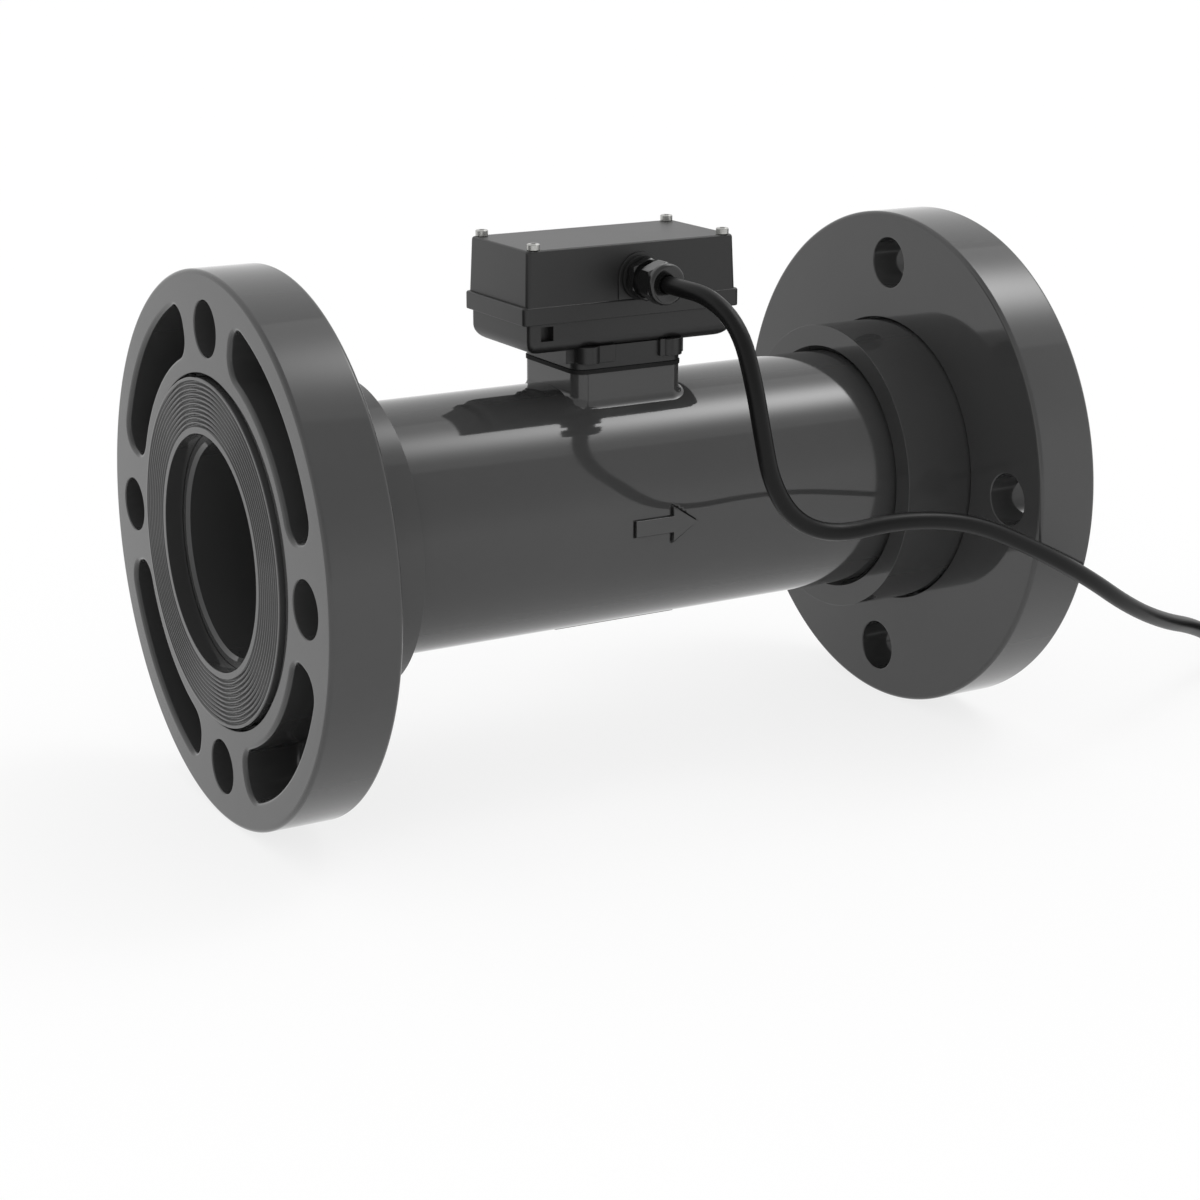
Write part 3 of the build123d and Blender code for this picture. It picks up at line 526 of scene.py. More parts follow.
def edged(piece, width, steps=EDGE_STEPS):
    """Rounds a piece's crisp edges by a width in millimetres."""
    bevel = piece.modifiers.new("edges", "BEVEL")
    bevel.width = width * MM
    bevel.segments = steps
    bevel.limit_method = "ANGLE"
    bevel.angle_limit = math.radians(BEVEL_ANGLE)
    return baked(piece)


def smoothed(piece, angle=CRISP_ANGLE):
    """Smooth shading that keeps flat faces flat and crisp edges crisp."""
    piece.data.shade_smooth()
    piece.data.set_sharp_from_angle(angle=math.radians(angle))
    weigh = piece.modifiers.new("weigh", "WEIGHTED_NORMAL")
    weigh.keep_sharp = True
    return baked(piece)


def finished(piece, material, body, slot, *nodes):
    """Gives a piece its material and its body, and hides the CAD nodes it stands for; the slot is not used.
    """
    piece.data.materials.clear()
    piece.data.materials.append(material)
    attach(piece, body)
    if nodes:
        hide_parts(*nodes)
    return piece


# Shader helpers
def linear(hex_colour):
    """An sRGB colour such as 5a5b5c as linear RGBA."""
    channels = [int(hex_colour[i:i + 2], 16) / 255 for i in (0, 2, 4)]
    low, slope, lift, power = 0.04045, 12.92, 0.055, 2.4
    return [c / slope if c <= low else ((c + lift) / (1 + lift)) ** power for c in channels] + [1.0]


def add(tree, kind, inputs=None, **settings):
    """Adds a node with its settings; an input is a value or another node's output socket."""
    made = tree.nodes.new(kind)
    for name, value in settings.items():
        setattr(made, name, value)
    for name, value in (inputs or {}).items():
        if isinstance(value, bpy.types.NodeSocket):
            tree.links.new(value, made.inputs[name])
        else:
            made.inputs[name].default_value = value
    return made


def maths(tree, operation, *values):
    """A sum, product or the like; each value is a number or a socket."""
    return add(tree, "ShaderNodeMath", dict(enumerate(values)), operation=operation).outputs[0]


def emptied(owner):
    """The cleared node tree of a material or world."""
    owner.use_nodes = True
    owner.node_tree.nodes.clear()
    return owner.node_tree


def blank(name):
    """A new material, its empty node tree and the object's own coordinates."""
    material = bpy.data.materials.new(name)
    tree = emptied(material)
    return material, tree, add(tree, "ShaderNodeTexCoord").outputs["Object"]


def surface(material, shader):
    add(material.node_tree, "ShaderNodeOutputMaterial", {"Surface": shader.outputs[0]})
    return material


def between(tree, value, low, high, first=0.0, last=1.0):
    """Maps a socket's range from first to last onto the range from low to high."""
    inputs = {"Value": value, "From Min": first, "From Max": last, "To Min": low, "To Max": high}
    return add(tree, "ShaderNodeMapRange", inputs).outputs["Result"]


def blended(tree, factor, first, second):
    """Mixes two colours by a socket."""
    mix = add(tree, "ShaderNodeMix", {0: factor, 6: first, 7: second}, data_type="RGBA")
    return mix.outputs[2]


def noise(tree, place, scale, detail, roughness=0.5):
    inputs = {"Vector": place, "Scale": scale, "Detail": detail, "Roughness": roughness}
    return add(tree, "ShaderNodeTexNoise", inputs).outputs["Fac"]


def bumped(tree, height, strength, depth):
    """A normal bumped by a height socket, its depth in millimetres."""
    inputs = {"Height": height, "Strength": strength, "Distance": depth * MM}
    return add(tree, "ShaderNodeBump", inputs).outputs["Normal"]


def moulded(name, dark, light, rough, grain, depth, level=0.5, clouds=22.0, wear=0.0):
    """Moulded plastic: cloudy flow marks in its colour and gloss, a fine grain, and faint wear."""
    material, tree, place = blank(name)
    flow = noise(tree, place, clouds, 4.0, 0.6)
    grains = noise(tree, place, grain, 3.0, 0.55)
    swell = noise(tree, place, grain / SWELL_SHARE, 1.0)
    gloss = between(tree, flow, rough - FLOW_LESS, rough + FLOW_MORE)
    if wear > 0:
        across = {"Vector": place, "Scale": RUB_STRETCH, "Rotation": RUB_TURN}
        stretched = add(tree, "ShaderNodeMapping", across).outputs[0]
        rubs = noise(tree, stretched, RUB_SCALE, 8.0, 0.7)
        gloss = maths(tree, "ADD", gloss, between(tree, rubs, 0.0, wear, RUB_FROM, RUB_FULL))
    return surface(material, add(tree, "ShaderNodeBsdfPrincipled", {
        "Base Color": blended(tree, between(tree, flow, 0.0, 1.0), linear(dark), linear(light)),
        "Roughness": gloss,
        "Specular IOR Level": level,
        "Normal": bumped(tree, maths(tree, "ADD", grains, swell), 0.5, depth),
    }))


def metallic(name, dark, light, rough, stretch, depth):
    """Metal with fine lines along one direction, given by how much each axis is squeezed."""
    material, tree, place = blank(name)
    squeezed = add(tree, "ShaderNodeMapping", {"Vector": place, "Scale": stretch}).outputs[0]
    brushed = noise(tree, squeezed, 1.0, 5.0, 0.6)
    return surface(material, add(tree, "ShaderNodeBsdfPrincipled", {
        "Base Color": blended(tree, noise(tree, place, 120.0, 3.0), linear(dark), linear(light)),
        "Metallic": 1.0,
        "Roughness": between(tree, brushed, rough - BRUSH_LESS, rough + BRUSH_MORE),
        "Normal": bumped(tree, brushed, 0.4, depth),
    }))


# Rigid grey pipe plastic, injection moulded in polished tools: glossy skin, faint flow marks and rubs
PIPE_PLASTIC = moulded("rigid_pvc_moulded", "383838", "3e3e3e", 0.06, 500.0, 0.001, 0.5, wear=0.08)
# Box plastic, moulded in a finely textured tool: nearly black, duller than the pipe
BOX_PLASTIC = moulded("abs_textured_mould", "191919", "1e1e1e", 0.4, 1500.0, 0.01, 0.48)
# Gland nylon, moulded black with a slight shine
GLAND_NYLON = moulded("nylon_moulded_black", "101010", "151515", 0.16, 900.0, 0.002, 0.6, clouds=60.0)
# Thin black plate, moulded and matt
PLATE_PLASTIC = moulded("thin_plate_moulded_black", "0d0d0d", "131313", 0.5, 1200.0, 0.03, 0.3)
# Turbine and support plastic, moulded dark grey
ROTOR_PLASTIC = moulded("turbine_plastic_moulded", "3c3d40", "46474a", 0.4, 800.0, 0.03, clouds=40.0)
# Bearing plastic, turned from rod, waxy cream
BUSH_PLASTIC = moulded("bearing_plastic_turned", "b7ae9c", "c5bdac", 0.35, 700.0, 0.02, clouds=80.0)
# Coil former, moulded natural nylon
BOBBIN_PLASTIC = moulded("nylon_moulded_natural", "b0a68c", "bfb69d", 0.45, 700.0, 0.03)
# Flat and round seals, moulded black rubber with a dusty matt skin
GASKET_RUBBER = moulded("rubber_moulded_matt", "101010", "1b1b1b", 0.72, 1300.0, 0.08, 0.25, clouds=90.0)
# Cable jacket, extruded black plastic with a slight sheen
JACKET = moulded("cable_jacket_extruded", "090909", "0e0e0e", 0.36, 1600.0, 0.01, 0.2, clouds=70.0)
# Strap that ties the coil, moulded black nylon
STRAP = moulded("strap_nylon_moulded", "0f0f0f", "171717", 0.38, 1000.0, 0.03, 0.4)
# Wire insulation, extruded red plastic
WIRE = moulded("wire_insulation_extruded", "8e1c16", "a3241c", 0.4, 1500.0, 0.02, clouds=60.0)
# Terminal block, moulded green plastic
TERMINAL = moulded("terminal_plastic_moulded", "1c5a36", "236a41", 0.45, 900.0, 0.04)
# Stainless screws and snap rings, turned and pressed
STEEL = metallic("stainless_steel_turned", "9c9c9a", "c4c4c0", 0.3, (2500.0, 2500.0, 300.0), 0.004)
# Shaft, ground lengthwise
SHAFT_STEEL = metallic("steel_shaft_ground", "9fa0a2", "c9cacc", 0.22, (8000.0, 300.0, 300.0), 0.002)
# Magnet rods, nickel plated
MAGNET = metallic("magnet_nickel_plated", "8f8e88", "b2b0a8", 0.32, (900.0, 900.0, 900.0), 0.004)
# Enamelled copper wire, wound in layers: the stretch draws the turns
COPPER = metallic("copper_wire_wound", "7c3f1f", "b06434", 0.35, (200.0, 200.0, 9000.0), 0.06)


def circuit_laminate():
    """Coated glass-fibre board with faint copper tracks under the green coat."""
    material, tree, place = blank("glass_laminate_coated")
    tracks = add(tree, "ShaderNodeTexBrick", {
        "Vector": place,
        "Scale": 260.0,
        "Color1": linear("0e4a26"),
        "Color2": linear("12562d"),
        "Mortar": linear("1c7440"),
        "Mortar Size": 0.03,
    })
    weave = add(tree, "ShaderNodeTexWave", {"Vector": place, "Scale": 900.0, "Distortion": 1.0})
    return surface(material, add(tree, "ShaderNodeBsdfPrincipled", {
        "Base Color": tracks.outputs["Color"],
        "Roughness": 0.3,
        "Normal": bumped(tree, weave.outputs["Fac"], 0.2, 0.02),
    }))


BOARD = circuit_laminate()


# Geometry Nodes that repeat one part
def copies_tree(name, sockets):
    """A new tree that takes a part and the named inputs, and the sockets that hold them."""
    tree = bpy.data.node_groups.new(name, "GeometryNodeTree")
    tree.interface.new_socket("Geometry", in_out="INPUT", socket_type="NodeSocketGeometry")
    for label, kind in sockets:
        tree.interface.new_socket(label, in_out="INPUT", socket_type=kind)
    tree.interface.new_socket("Geometry", in_out="OUTPUT", socket_type="NodeSocketGeometry")
    return tree, add(tree, "NodeGroupInput").outputs


def ended(tree, copies, material):
    """Ends a tree with real meshes that carry the material."""
    real = add(tree, "GeometryNodeRealizeInstances", {"Geometry": copies})
    coated = add(tree, "GeometryNodeSetMaterial", {"Geometry": real.outputs[0], "Material": material})
    add(tree, "NodeGroupOutput", {"Geometry": coated.outputs[0]})


def spokes_tree():
    """Copies of a part evenly turned about the pipe's axis."""
    sockets = (("Copies", "NodeSocketInt"), ("Material", "NodeSocketMaterial"))
    tree, given = copies_tree("spokes_about_axis", sockets)
    points = add(tree, "GeometryNodePoints", {"Count": given["Copies"]})
    index = add(tree, "GeometryNodeInputIndex").outputs[0]
    angle = maths(tree, "MULTIPLY", index, maths(tree, "DIVIDE", FULL_TURN, given["Copies"]))
    euler = add(tree, "ShaderNodeCombineXYZ", {"X": angle})
    turn = add(tree, "FunctionNodeEulerToRotation", {"Euler": euler.outputs[0]})
    copies = add(tree, "GeometryNodeInstanceOnPoints", {
        "Points": points.outputs[0],
        "Instance": given["Geometry"],
        "Rotation": turn.outputs[0],
    })
    ended(tree, copies.outputs[0], given["Material"])
    return tree


def corners_tree():
    """Copies of a part at the four corners of a rectangle."""
    sockets = (
        ("Length", "NodeSocketFloat"),
        ("Width", "NodeSocketFloat"),
        ("Centre", "NodeSocketVector"),
        ("Material", "NodeSocketMaterial"),
    )
    tree, given = copies_tree("corners_of_rectangle", sockets)
    sides = {"Size X": given["Length"], "Size Y": given["Width"], "Vertices X": 2, "Vertices Y": 2}
    grid = add(tree, "GeometryNodeMeshGrid", sides).outputs[0]
    copies = add(tree, "GeometryNodeInstanceOnPoints", {"Points": grid, "Instance": given["Geometry"]})
    place = {"Geometry": copies.outputs[0], "Translation": given["Centre"]}
    ended(tree, add(tree, "GeometryNodeTransform", place).outputs[0], given["Material"])
    return tree


def repeated(piece, tree, **values):
    """Runs a tree on a piece, its inputs given by name, and keeps the result."""
    repeat = piece.modifiers.new("repeat", "NODES")
    repeat.node_group = tree
    for item in tree.interface.items_tree:
        if item.in_out == "INPUT" and item.name in values:
            repeat[item.identifier] = values[item.name]
    return baked(piece)


SPOKES = spokes_tree()
CORNERS = corners_tree()


# Loose flange rings
def pocket_loop(x, grow):
    """The kidney outline of one pocket at a depth, grown or shrunk all round."""
    start, end, right_angle = math.radians(POCKET_START), math.radians(POCKET_END), math.pi / 2
    corner = POCKET_CORNER + grow
    outer_r, inner_r = POCKET_OUT_R - POCKET_CORNER, POCKET_IN_R + POCKET_CORNER
    outer_inset, inner_inset = math.asin(POCKET_CORNER / outer_r), math.asin(POCKET_CORNER / inner_r)
    low, high = start + outer_inset, end - outer_inset
    near, far = start + inner_inset, end - inner_inset
    after, before = end + right_angle, start + 3 * right_angle
    # Each arc: its centre's radius and angle, its own radius, first angle, last angle and steps
    arcs = (
        (0, 0, POCKET_OUT_R + grow, low, high, CURVE_STEPS),
        (outer_r, high, corner, high, after, POCKET_STEPS),
        (inner_r, far, corner, after, far + math.pi, POCKET_STEPS),
        (0, 0, POCKET_IN_R - grow, far, near, CURVE_STEPS),
        (inner_r, near, corner, near + math.pi, before, POCKET_STEPS),
        (outer_r, low, corner, before, low + FULL_TURN, POCKET_STEPS),
    )
    points = []
    for centre_r, centre_angle, radius, first, last, steps in arcs:
        y, z = centre_r * math.sin(centre_angle), centre_r * math.cos(centre_angle)
        for i in range(steps + 1):
            angle = first + (last - first) * i / steps
            points.append((x, y + radius * math.sin(angle), z + radius * math.cos(angle)))
    return points


def pocket_tool():
    """One pocket as a cutter, its mouth rounded outward and its root rounded inward."""
    loops = [pocket_loop(-CUT_PAST, POCKET_MOUTH)]
    for s, c in quarter(POCKET_STEPS):
        loops.append(pocket_loop(POCKET_MOUTH * (1 - c), POCKET_MOUTH * (1 - s)))
    for s, c in quarter(POCKET_STEPS):
        loops.append(pocket_loop(POCKET_DEPTH - POCKET_ROOT * (1 - s), -POCKET_ROOT * (1 - c)))
    return stacked(loops)


def hole_tool():
    """One bolt hole as a cutter with slightly rounded mouths."""
    mouth = [(-CUT_PAST, HOLE_R + HOLE_EDGE)]
    mouth += [(HOLE_EDGE * (1 - c), HOLE_R + HOLE_EDGE * (1 - s)) for s, c in quarter(EDGE_STEPS)]
    far_mouth = [(RING_THICK - x, r) for x, r in reversed(mouth)]
    profile = [(-CUT_PAST, 0)] + mouth + far_mouth + [(RING_THICK + CUT_PAST, 0)]
    return moved(lathed(profile, SMALL_TURN), Matrix.Translation((0, 0, BOLT_R)))


def flange_ring():
    corners = [
        (0, RING_RECESS_R, RING_INNER_EDGE),
        (RING_SHOULDER_X, RING_RECESS_R, 0),
        (RING_SHOULDER_X, RING_BORE_R, RING_INNER_EDGE),
        (RING_THICK, RING_BORE_R, RING_INNER_EDGE),
        (RING_THICK, RING_R, RING_EDGE),
        (0, RING_R, RING_EDGE),
    ]
    return lathed(softened(corners, ROUND_STEPS), BODY_TURN)


def ring_tools():
    """The cutters of all bolt holes and pockets of a ring."""
    tools = []
    for angle in around(HOLE_COUNT):
        turn = Matrix.Rotation(angle, 4, "X")
        tools += [moved(hole_tool(), turn), moved(pocket_tool(), turn)]
    return together(*tools)


for side in SIDES:
    ring = placed(f"{side}_ring_moulded", flange_ring())
    carved(ring, ring_tools())
    if side == "downstream":
        opposite = Matrix.Translation((RING_TO_RING * MM, 0, 0)) @ Matrix.Scale(-1, 4, (1, 0, 0))
        ring.data.transform(opposite)
        ring.data.flip_normals()
    smoothed(ring, CRISP_TURNED)
    finished(ring, PIPE_PLASTIC, f"{side}_ring", "pipe_plastic", f"{side}_flange_ring")


# Hubs with their grooved sealing faces
def hub():
    corners = [(HUB_FACE_X, HUB_LIP_R, HUB_LIP_EDGE)]
    for i in range(GROOVES):
        start = GROOVE_START_R + i * GROOVE_PITCH
        corners += [
            (HUB_FACE_X, start, GROOVE_CREST),
            (HUB_FACE_X + GROOVE_DEPTH, start + (GROOVE_PITCH - GROOVE_LAND) / 2, GROOVE_ROOT),
            (HUB_FACE_X, start + GROOVE_PITCH - GROOVE_LAND, GROOVE_CREST),
        ]
    corners += [
        (HUB_FACE_X, GROOVE_START_R + GROOVES * GROOVE_PITCH, 0),
        (HUB_FACE_X, HUB_DISC_R, HUB_EDGE),
        (HUB_DISC_BACK_X, HUB_DISC_R, HUB_EDGE / 2),
        (HUB_DISC_BACK_X, HUB_COLLAR_R, 0),
        (HUB_END_X, HUB_COLLAR_R, COLLAR_EDGE),
        (HUB_END_X, HUB_SOCKET_R + HUB_MOUTH, COLLAR_EDGE),
        (HUB_END_X - HUB_MOUTH, HUB_SOCKET_R, 0),
        (PIPE_START_X, HUB_SOCKET_R, 0),
        (PIPE_START_X, HUB_LIP_R, HUB_LIP_BACK_EDGE),
    ]
    return lathed(softened(corners, RIM_STEPS), BODY_TURN)


for side in SIDES:
    shape = hub()
    if side == "downstream":
        shape = mirrored_to_outlet(shape)
    stub = smoothed(placed(f"{side}_hub_moulded", shape), CRISP_GROOVES)
    finished(stub, PIPE_PLASTIC, "meter", "pipe_plastic", f"{side}_hub")


# Pipe body with its pedestal and arrow
def pipe():
    """The pipe's wall, with seats in its bore and close rings of points on its skin near the arrow."""
    shoulder = CENTRE_X - ZONE_HALF
    near = shoulder - SUPPORT_LENGTH - SNAP_GAP
    far = near - SNAP_WIDTH - 2 * SNAP_GAP
    half = [
        (PIPE_START_X, PIPE_R, PIPE_EDGE),
        (PIPE_START_X, BORE_R + PIPE_FLARE, 0),
        (PIPE_START_X + PIPE_FLARE, BORE_R, 0),
        (far, BORE_R, 0),
        (far, BORE_R + SNAP_BITE, 0),
        (near, BORE_R + SNAP_BITE, 0),
        (near, BORE_R, 0),
        (shoulder, BORE_R, 0),
        (shoulder, ZONE_R, 0),
    ]
    other = [(RING_TO_RING - x, r, radius) for x, r, radius in reversed(half)]
    count = round(2 * FINE_SKIN / FINE_STEP)
    skin = [(CENTRE_X + FINE_SKIN - FINE_STEP * i, PIPE_R, 0) for i in range(count + 1)]
    return lathed(softened(half + other + skin, EDGE_STEPS), BODY_TURN)


def pedestal():
    """The pedestal's walls, flaring at the foot to lie on the round pipe."""
    skirt = [(PEDESTAL_SKIRT, -PEDESTAL_ROOT)]
    skirt += [(PEDESTAL_SKIRT * (1 - s), PEDESTAL_SKIRT * (1 - c)) for s, c in quarter(ROUND_STEPS)]
    rows = []
    for grow, rise in skirt:
        flat = pedestal_loop(grow, 0)
        rows.append([(x, y, math.sqrt(PIPE_R ** 2 - y ** 2) - PEDESTAL_SINK + rise) for x, y, z in flat])
    rows += [pedestal_loop(grow, PEDESTAL_TOP_Z - drop) for drop, grow in PEDESTAL_TOP_ROUND]
    return stacked(rows)


def arrow(grow=0.0):
    """The arrow as a prism through the pipe's front wall, grown all round by a margin."""
    half_head = math.atan2(ARROW_HEAD_HALF, ARROW_HEAD)
    tail = CENTRE_X - ARROW_LENGTH / 2 - grow
    tip = CENTRE_X + ARROW_LENGTH / 2 + grow / math.sin(half_head)
    neck = CENTRE_X + ARROW_LENGTH / 2 - ARROW_HEAD - grow
    shaft = ARROW_SHAFT_HALF + grow
    head = (tip - neck) * math.tan(half_head)
    lower = [(tail, -shaft), (neck, -shaft), (neck, -head)]
    outline = lower + [(tip, 0)] + [(x, -z) for x, z in reversed(lower)]
    return stacked([[(x, y, z) for x, z in outline] for y in (-PIPE_R - ARROW_REACH, -BORE_R)])


def pipe_skin(low, high):
    """A sleeve round the pipe between two heights above its surface."""
    start, end = CENTRE_X - ARROW_LENGTH, CENTRE_X + ARROW_LENGTH
    inner, outer = PIPE_R + low, PIPE_R + high
    return lathed([(start, inner), (start, outer), (end, outer), (end, inner)], BODY_TURN)


def witness_tool():
    """The cutter of the fine line that runs round the arrow."""
    sheet = carved(placed("witness", arrow(ARROW_MARGIN)), pipe_skin(-ARROW_SINK, ARROW_RISE), "INTERSECT")
    shape = bmesh.new()
    shape.from_mesh(sheet.data)
    bpy.data.objects.remove(sheet)
    return moved(shape, Matrix.Scale(1 / MM, 4))


body = placed("meter_body_moulded", pipe())
carved(body, pedestal(), "UNION")
carved(body, upright_rod(CENTRE_X, 0, WELL_FLOOR_Z, PEDESTAL_TOP_Z + CUT_PAST, WELL_R))
carved(body, witness_tool())
smoothed(body)
mark = placed("flow_arrow_raised", arrow())
carved(mark, pipe_skin(-CUT_PAST, ARROW_RISE), "INTERSECT")
smoothed(edged(mark, ARROW_EDGE))
finished(body, PIPE_PLASTIC, "meter", "pipe_plastic", "meter_body")
finished(mark, PIPE_PLASTIC, "meter", "pipe_plastic")


def plate():
    """The thin curved plate on the pipe's underside."""
    span = 2 * PLATE_HALF_ARC
    angles = [math.radians(-PLATE_HALF_ARC + span * i / CURVE_STEPS) for i in range(CURVE_STEPS + 1)]
    outline = []
    for radius, sweep in ((PIPE_R + PLATE_THICK, angles), (PIPE_R - PLATE_SINK, angles[::-1])):
        outline += [(radius * math.sin(a), -radius * math.cos(a)) for a in sweep]
    ends = (CENTRE_X - PLATE_LENGTH / 2, CENTRE_X + PLATE_LENGTH / 2)
    return stacked([[(x, y, z) for y, z in outline] for x in ends])


strip = smoothed(edged(placed("underside_plate_moulded", plate()), PLATE_EDGE, PLATE_EDGE_STEPS))
finished(strip, PLATE_PLASTIC, "meter", "black_plastic", "underside_plate")


# Box foot with its corner lugs, tray and rim
def foot():
    edge = FOOT_EDGE
    rows = ((0, -edge), (edge / 4, -edge / 3), (edge, 0.0), (FOOT_TOP_Z - FOOT_BOTTOM_Z, 0.0))
    return stacked([pedestal_loop(grow, FOOT_BOTTOM_Z + rise) for rise, grow in rows])


def lug_parts(shoulder, cheek):
    """The lug at the foot's front inlet corner: round boss, front shoulder and slotted cheek."""
    side = CENTRE_X - PEDESTAL_HALF_X - cheek
    front = -PEDESTAL_HALF_Y - LUG_PROUD
    low = TRAY_BOTTOM_Z - LUG_HEIGHT
    boss_x = CENTRE_X - PEDESTAL_HALF_X + LUG_INSET_X
    boss_y = -PEDESTAL_HALF_Y + LUG_INSET_Y
    slot_end = boss_y + LUG_REACH - LUG_R - LUG_WALL
    slot_x = side + cheek - LUG_PROUD + LUG_SLOT
    return [
        upright_rod(boss_x, boss_y, low, LUG_TOP_Z, LUG_R),
        brick((boss_x, front, low), (boss_x + shoulder, front + LUG_SHOULDER_DEPTH, LUG_TOP_Z)),
        brick((side, slot_end, low), (boss_x, slot_end + LUG_WALL, LUG_TOP_Z)),
        brick((slot_x, boss_y, low), (boss_x, slot_end + LUG_OVERLAP, LUG_TOP_Z)),
    ]


def all_lugs():
    """Four lugs, mirrored from corner to corner; the two on the inlet side are wider."""
    lugs = []
    for flip_x in (False, True):
        for flip_y in (False, True):
            shoulder, cheek = (LUG_SHOULDER_OUT, LUG_PROUD) if flip_x else (LUG_SHOULDER_IN, LUG_CHEEK_IN)
            lug = together(*lug_parts(shoulder, cheek))
            if flip_x:
                lug = mirrored_to_outlet(lug)
            if flip_y:
                lug = moved(lug, Matrix.Scale(-1, 4, (0, 1, 0)))
            lugs.append(lug)
    return together(*lugs)


def tray():
    """Tray and rim as one open shell, with the tray's wide bottom radius."""
    rows = []
    for s, c in quarter(CORNER_STEPS):
        inset, z = TRAY_BOTTOM_EDGE * (1 - s), TRAY_BOTTOM_Z + TRAY_BOTTOM_EDGE * (1 - c)
        rows.append(box_loop(TRAY_HALF_X - inset, TRAY_HALF_Y - inset, TRAY_CORNER, z))
    rows.append(box_loop(TRAY_HALF_X, TRAY_HALF_Y, TRAY_CORNER, TRAY_TOP_Z))
    turns = quarter(CORNER_STEPS)
    rim = [(RIM_EDGE * (s - 1), TRAY_TOP_Z + RIM_EDGE * (1 - c)) for s, c in turns]
    rim += [(RIM_TOP_EDGE * (c - 1), RIM_TOP_Z + RIM_TOP_EDGE * (s - 1)) for s, c in turns]
    rows += [box_loop(RIM_HALF_X + grow, RIM_HALF_Y + grow, TRAY_CORNER + grow, z) for grow, z in rim]
    floor_edge = TRAY_BOTTOM_Z + TRAY_BOTTOM_EDGE
    for inset, z in ((0, RIM_TOP_Z), (0, floor_edge), (TRAY_FLOOR_INSET, TRAY_BOTTOM_Z + BOX_WALL)):
        inner_x, inner_y = TRAY_HALF_X - BOX_WALL - inset, TRAY_HALF_Y - BOX_WALL - inset
        rows.append(box_loop(inner_x, inner_y, TRAY_CORNER / 2, z))
    return stacked(rows)


def notch_block(wall, start_y, low_z, high_z):
    """A block about the tray's small recess, widened by a wall at its sides and back."""
    half = NOTCH_HALF + wall
    end_y = -TRAY_HALF_Y + NOTCH_DEPTH + wall
    return brick((NOTCH_X - half, start_y, low_z), (NOTCH_X + half, end_y, high_z))


shell = placed("box_tray_moulded", tray())
backing = notch_block(NOTCH_WALL, -TRAY_HALF_Y + CUT_PAST, TRAY_BOTTOM_Z + BOX_WALL, TRAY_TOP_Z)
carved(shell, backing, "UNION")
carved(shell, notch_block(0.0, -TRAY_HALF_Y - CUT_PAST, NOTCH_LOW_Z, NOTCH_HIGH_Z))
smoothed(shell, CRISP_TRAY)
base = smoothed(placed("box_foot_moulded", foot()))
lugs = smoothed(edged(placed("box_lugs_moulded", all_lugs()), LUG_EDGE))
finished(shell, BOX_PLASTIC, "meter", "box_plastic", "box_tray")
finished(base, BOX_PLASTIC, "meter", "box_plastic")
finished(lugs, BOX_PLASTIC, "meter", "box_plastic")


# Cover with its gland pad, and four screws
def cover():
    """The drafted cover as an open shell with a rounded top edge."""
    slope = math.tan(math.radians(COVER_DRAFT))
    edge_z = COVER_TOP_Z - COVER_EDGE

    def row(z, inset, corner=TRAY_CORNER):
        shrink = (z - RIM_TOP_Z) * slope + inset
        return box_loop(COVER_HALF_X - shrink, COVER_HALF_Y - shrink, corner, z)

    rows = [row(RIM_TOP_Z - COVER_SINK, 0.0), row(edge_z, 0.0)]
    for s, c in quarter(ROUND_STEPS, 1):
        inset = COVER_EDGE * (1 - c)
        rows.append(row(edge_z + COVER_EDGE * s, inset, TRAY_CORNER - inset / 2))
    inside = [row(z, BOX_WALL, TRAY_CORNER / 2) for z in (RIM_TOP_Z, COVER_TOP_Z - BOX_WALL)]
    return stacked(rows[::-1] + inside)


def gland_pad():
    """The arch-topped pad on the cover's front wall."""
    edge = PAD_EDGE
    rows = []
    depths = ((PAD_BACK, 0.0), (PAD_FRONT - edge, 0.0), (PAD_FRONT - edge / 4, edge / 4), (PAD_FRONT, edge))
    for out, inset in depths:
        radius = PAD_R - inset
        angles = [math.pi * i / CURVE_STEPS for i in range(CURVE_STEPS + 1)]
        row = [(GLAND_X + radius * math.cos(a), -out, GLAND_Z + radius * math.sin(a)) for a in angles]
        row += [(x, -out, RIM_TOP_Z + PAD_LIFT) for x in (GLAND_X - radius, GLAND_X + radius)]
        rows.append(row)
    return stacked(rows)


lid = smoothed(placed("box_cover_moulded", cover()))
pad = smoothed(placed("gland_pad_moulded", gland_pad()), CRISP_CURVED)
finished(lid, BOX_PLASTIC, "meter", "box_plastic", "box_cover")
finished(pad, BOX_PLASTIC, "meter", "box_plastic")


def screw():
    """One cap screw head with a rounded edge and a hexagonal socket, upright at the origin."""
    top, floor_z = SCREW_HEAD_HEIGHT, SCREW_HEAD_HEIGHT - SOCKET_DEPTH

    def circle(radius, z):
        return [(radius * math.cos(a), radius * math.sin(a), z) for a in around(SCREW_TURN)]

    def socket(across_flats, z):
        row = []
        for a in around(SCREW_TURN):
            radius = hexagon(across_flats, a + math.pi / 6)
            row.append((radius * math.cos(a), radius * math.sin(a), z))
        return row

    rows = [circle(SCREW_HEAD_R - SCREW_FOOT, 0.0), circle(SCREW_HEAD_R, SCREW_FOOT)]
    for s, c in quarter(NOSE_STEPS):
        rows.append(circle(SCREW_HEAD_R - SCREW_ROUND * (1 - c), top - SCREW_ROUND * (1 - s)))
    rows += [socket(SOCKET_AF + 2 * SOCKET_MOUTH, top), socket(SOCKET_AF, top - SOCKET_MOUTH)]
    rows += [socket(SOCKET_AF, floor_z), circle(SOCKET_TIP_R, floor_z - SOCKET_TIP)]
    return stacked(rows)


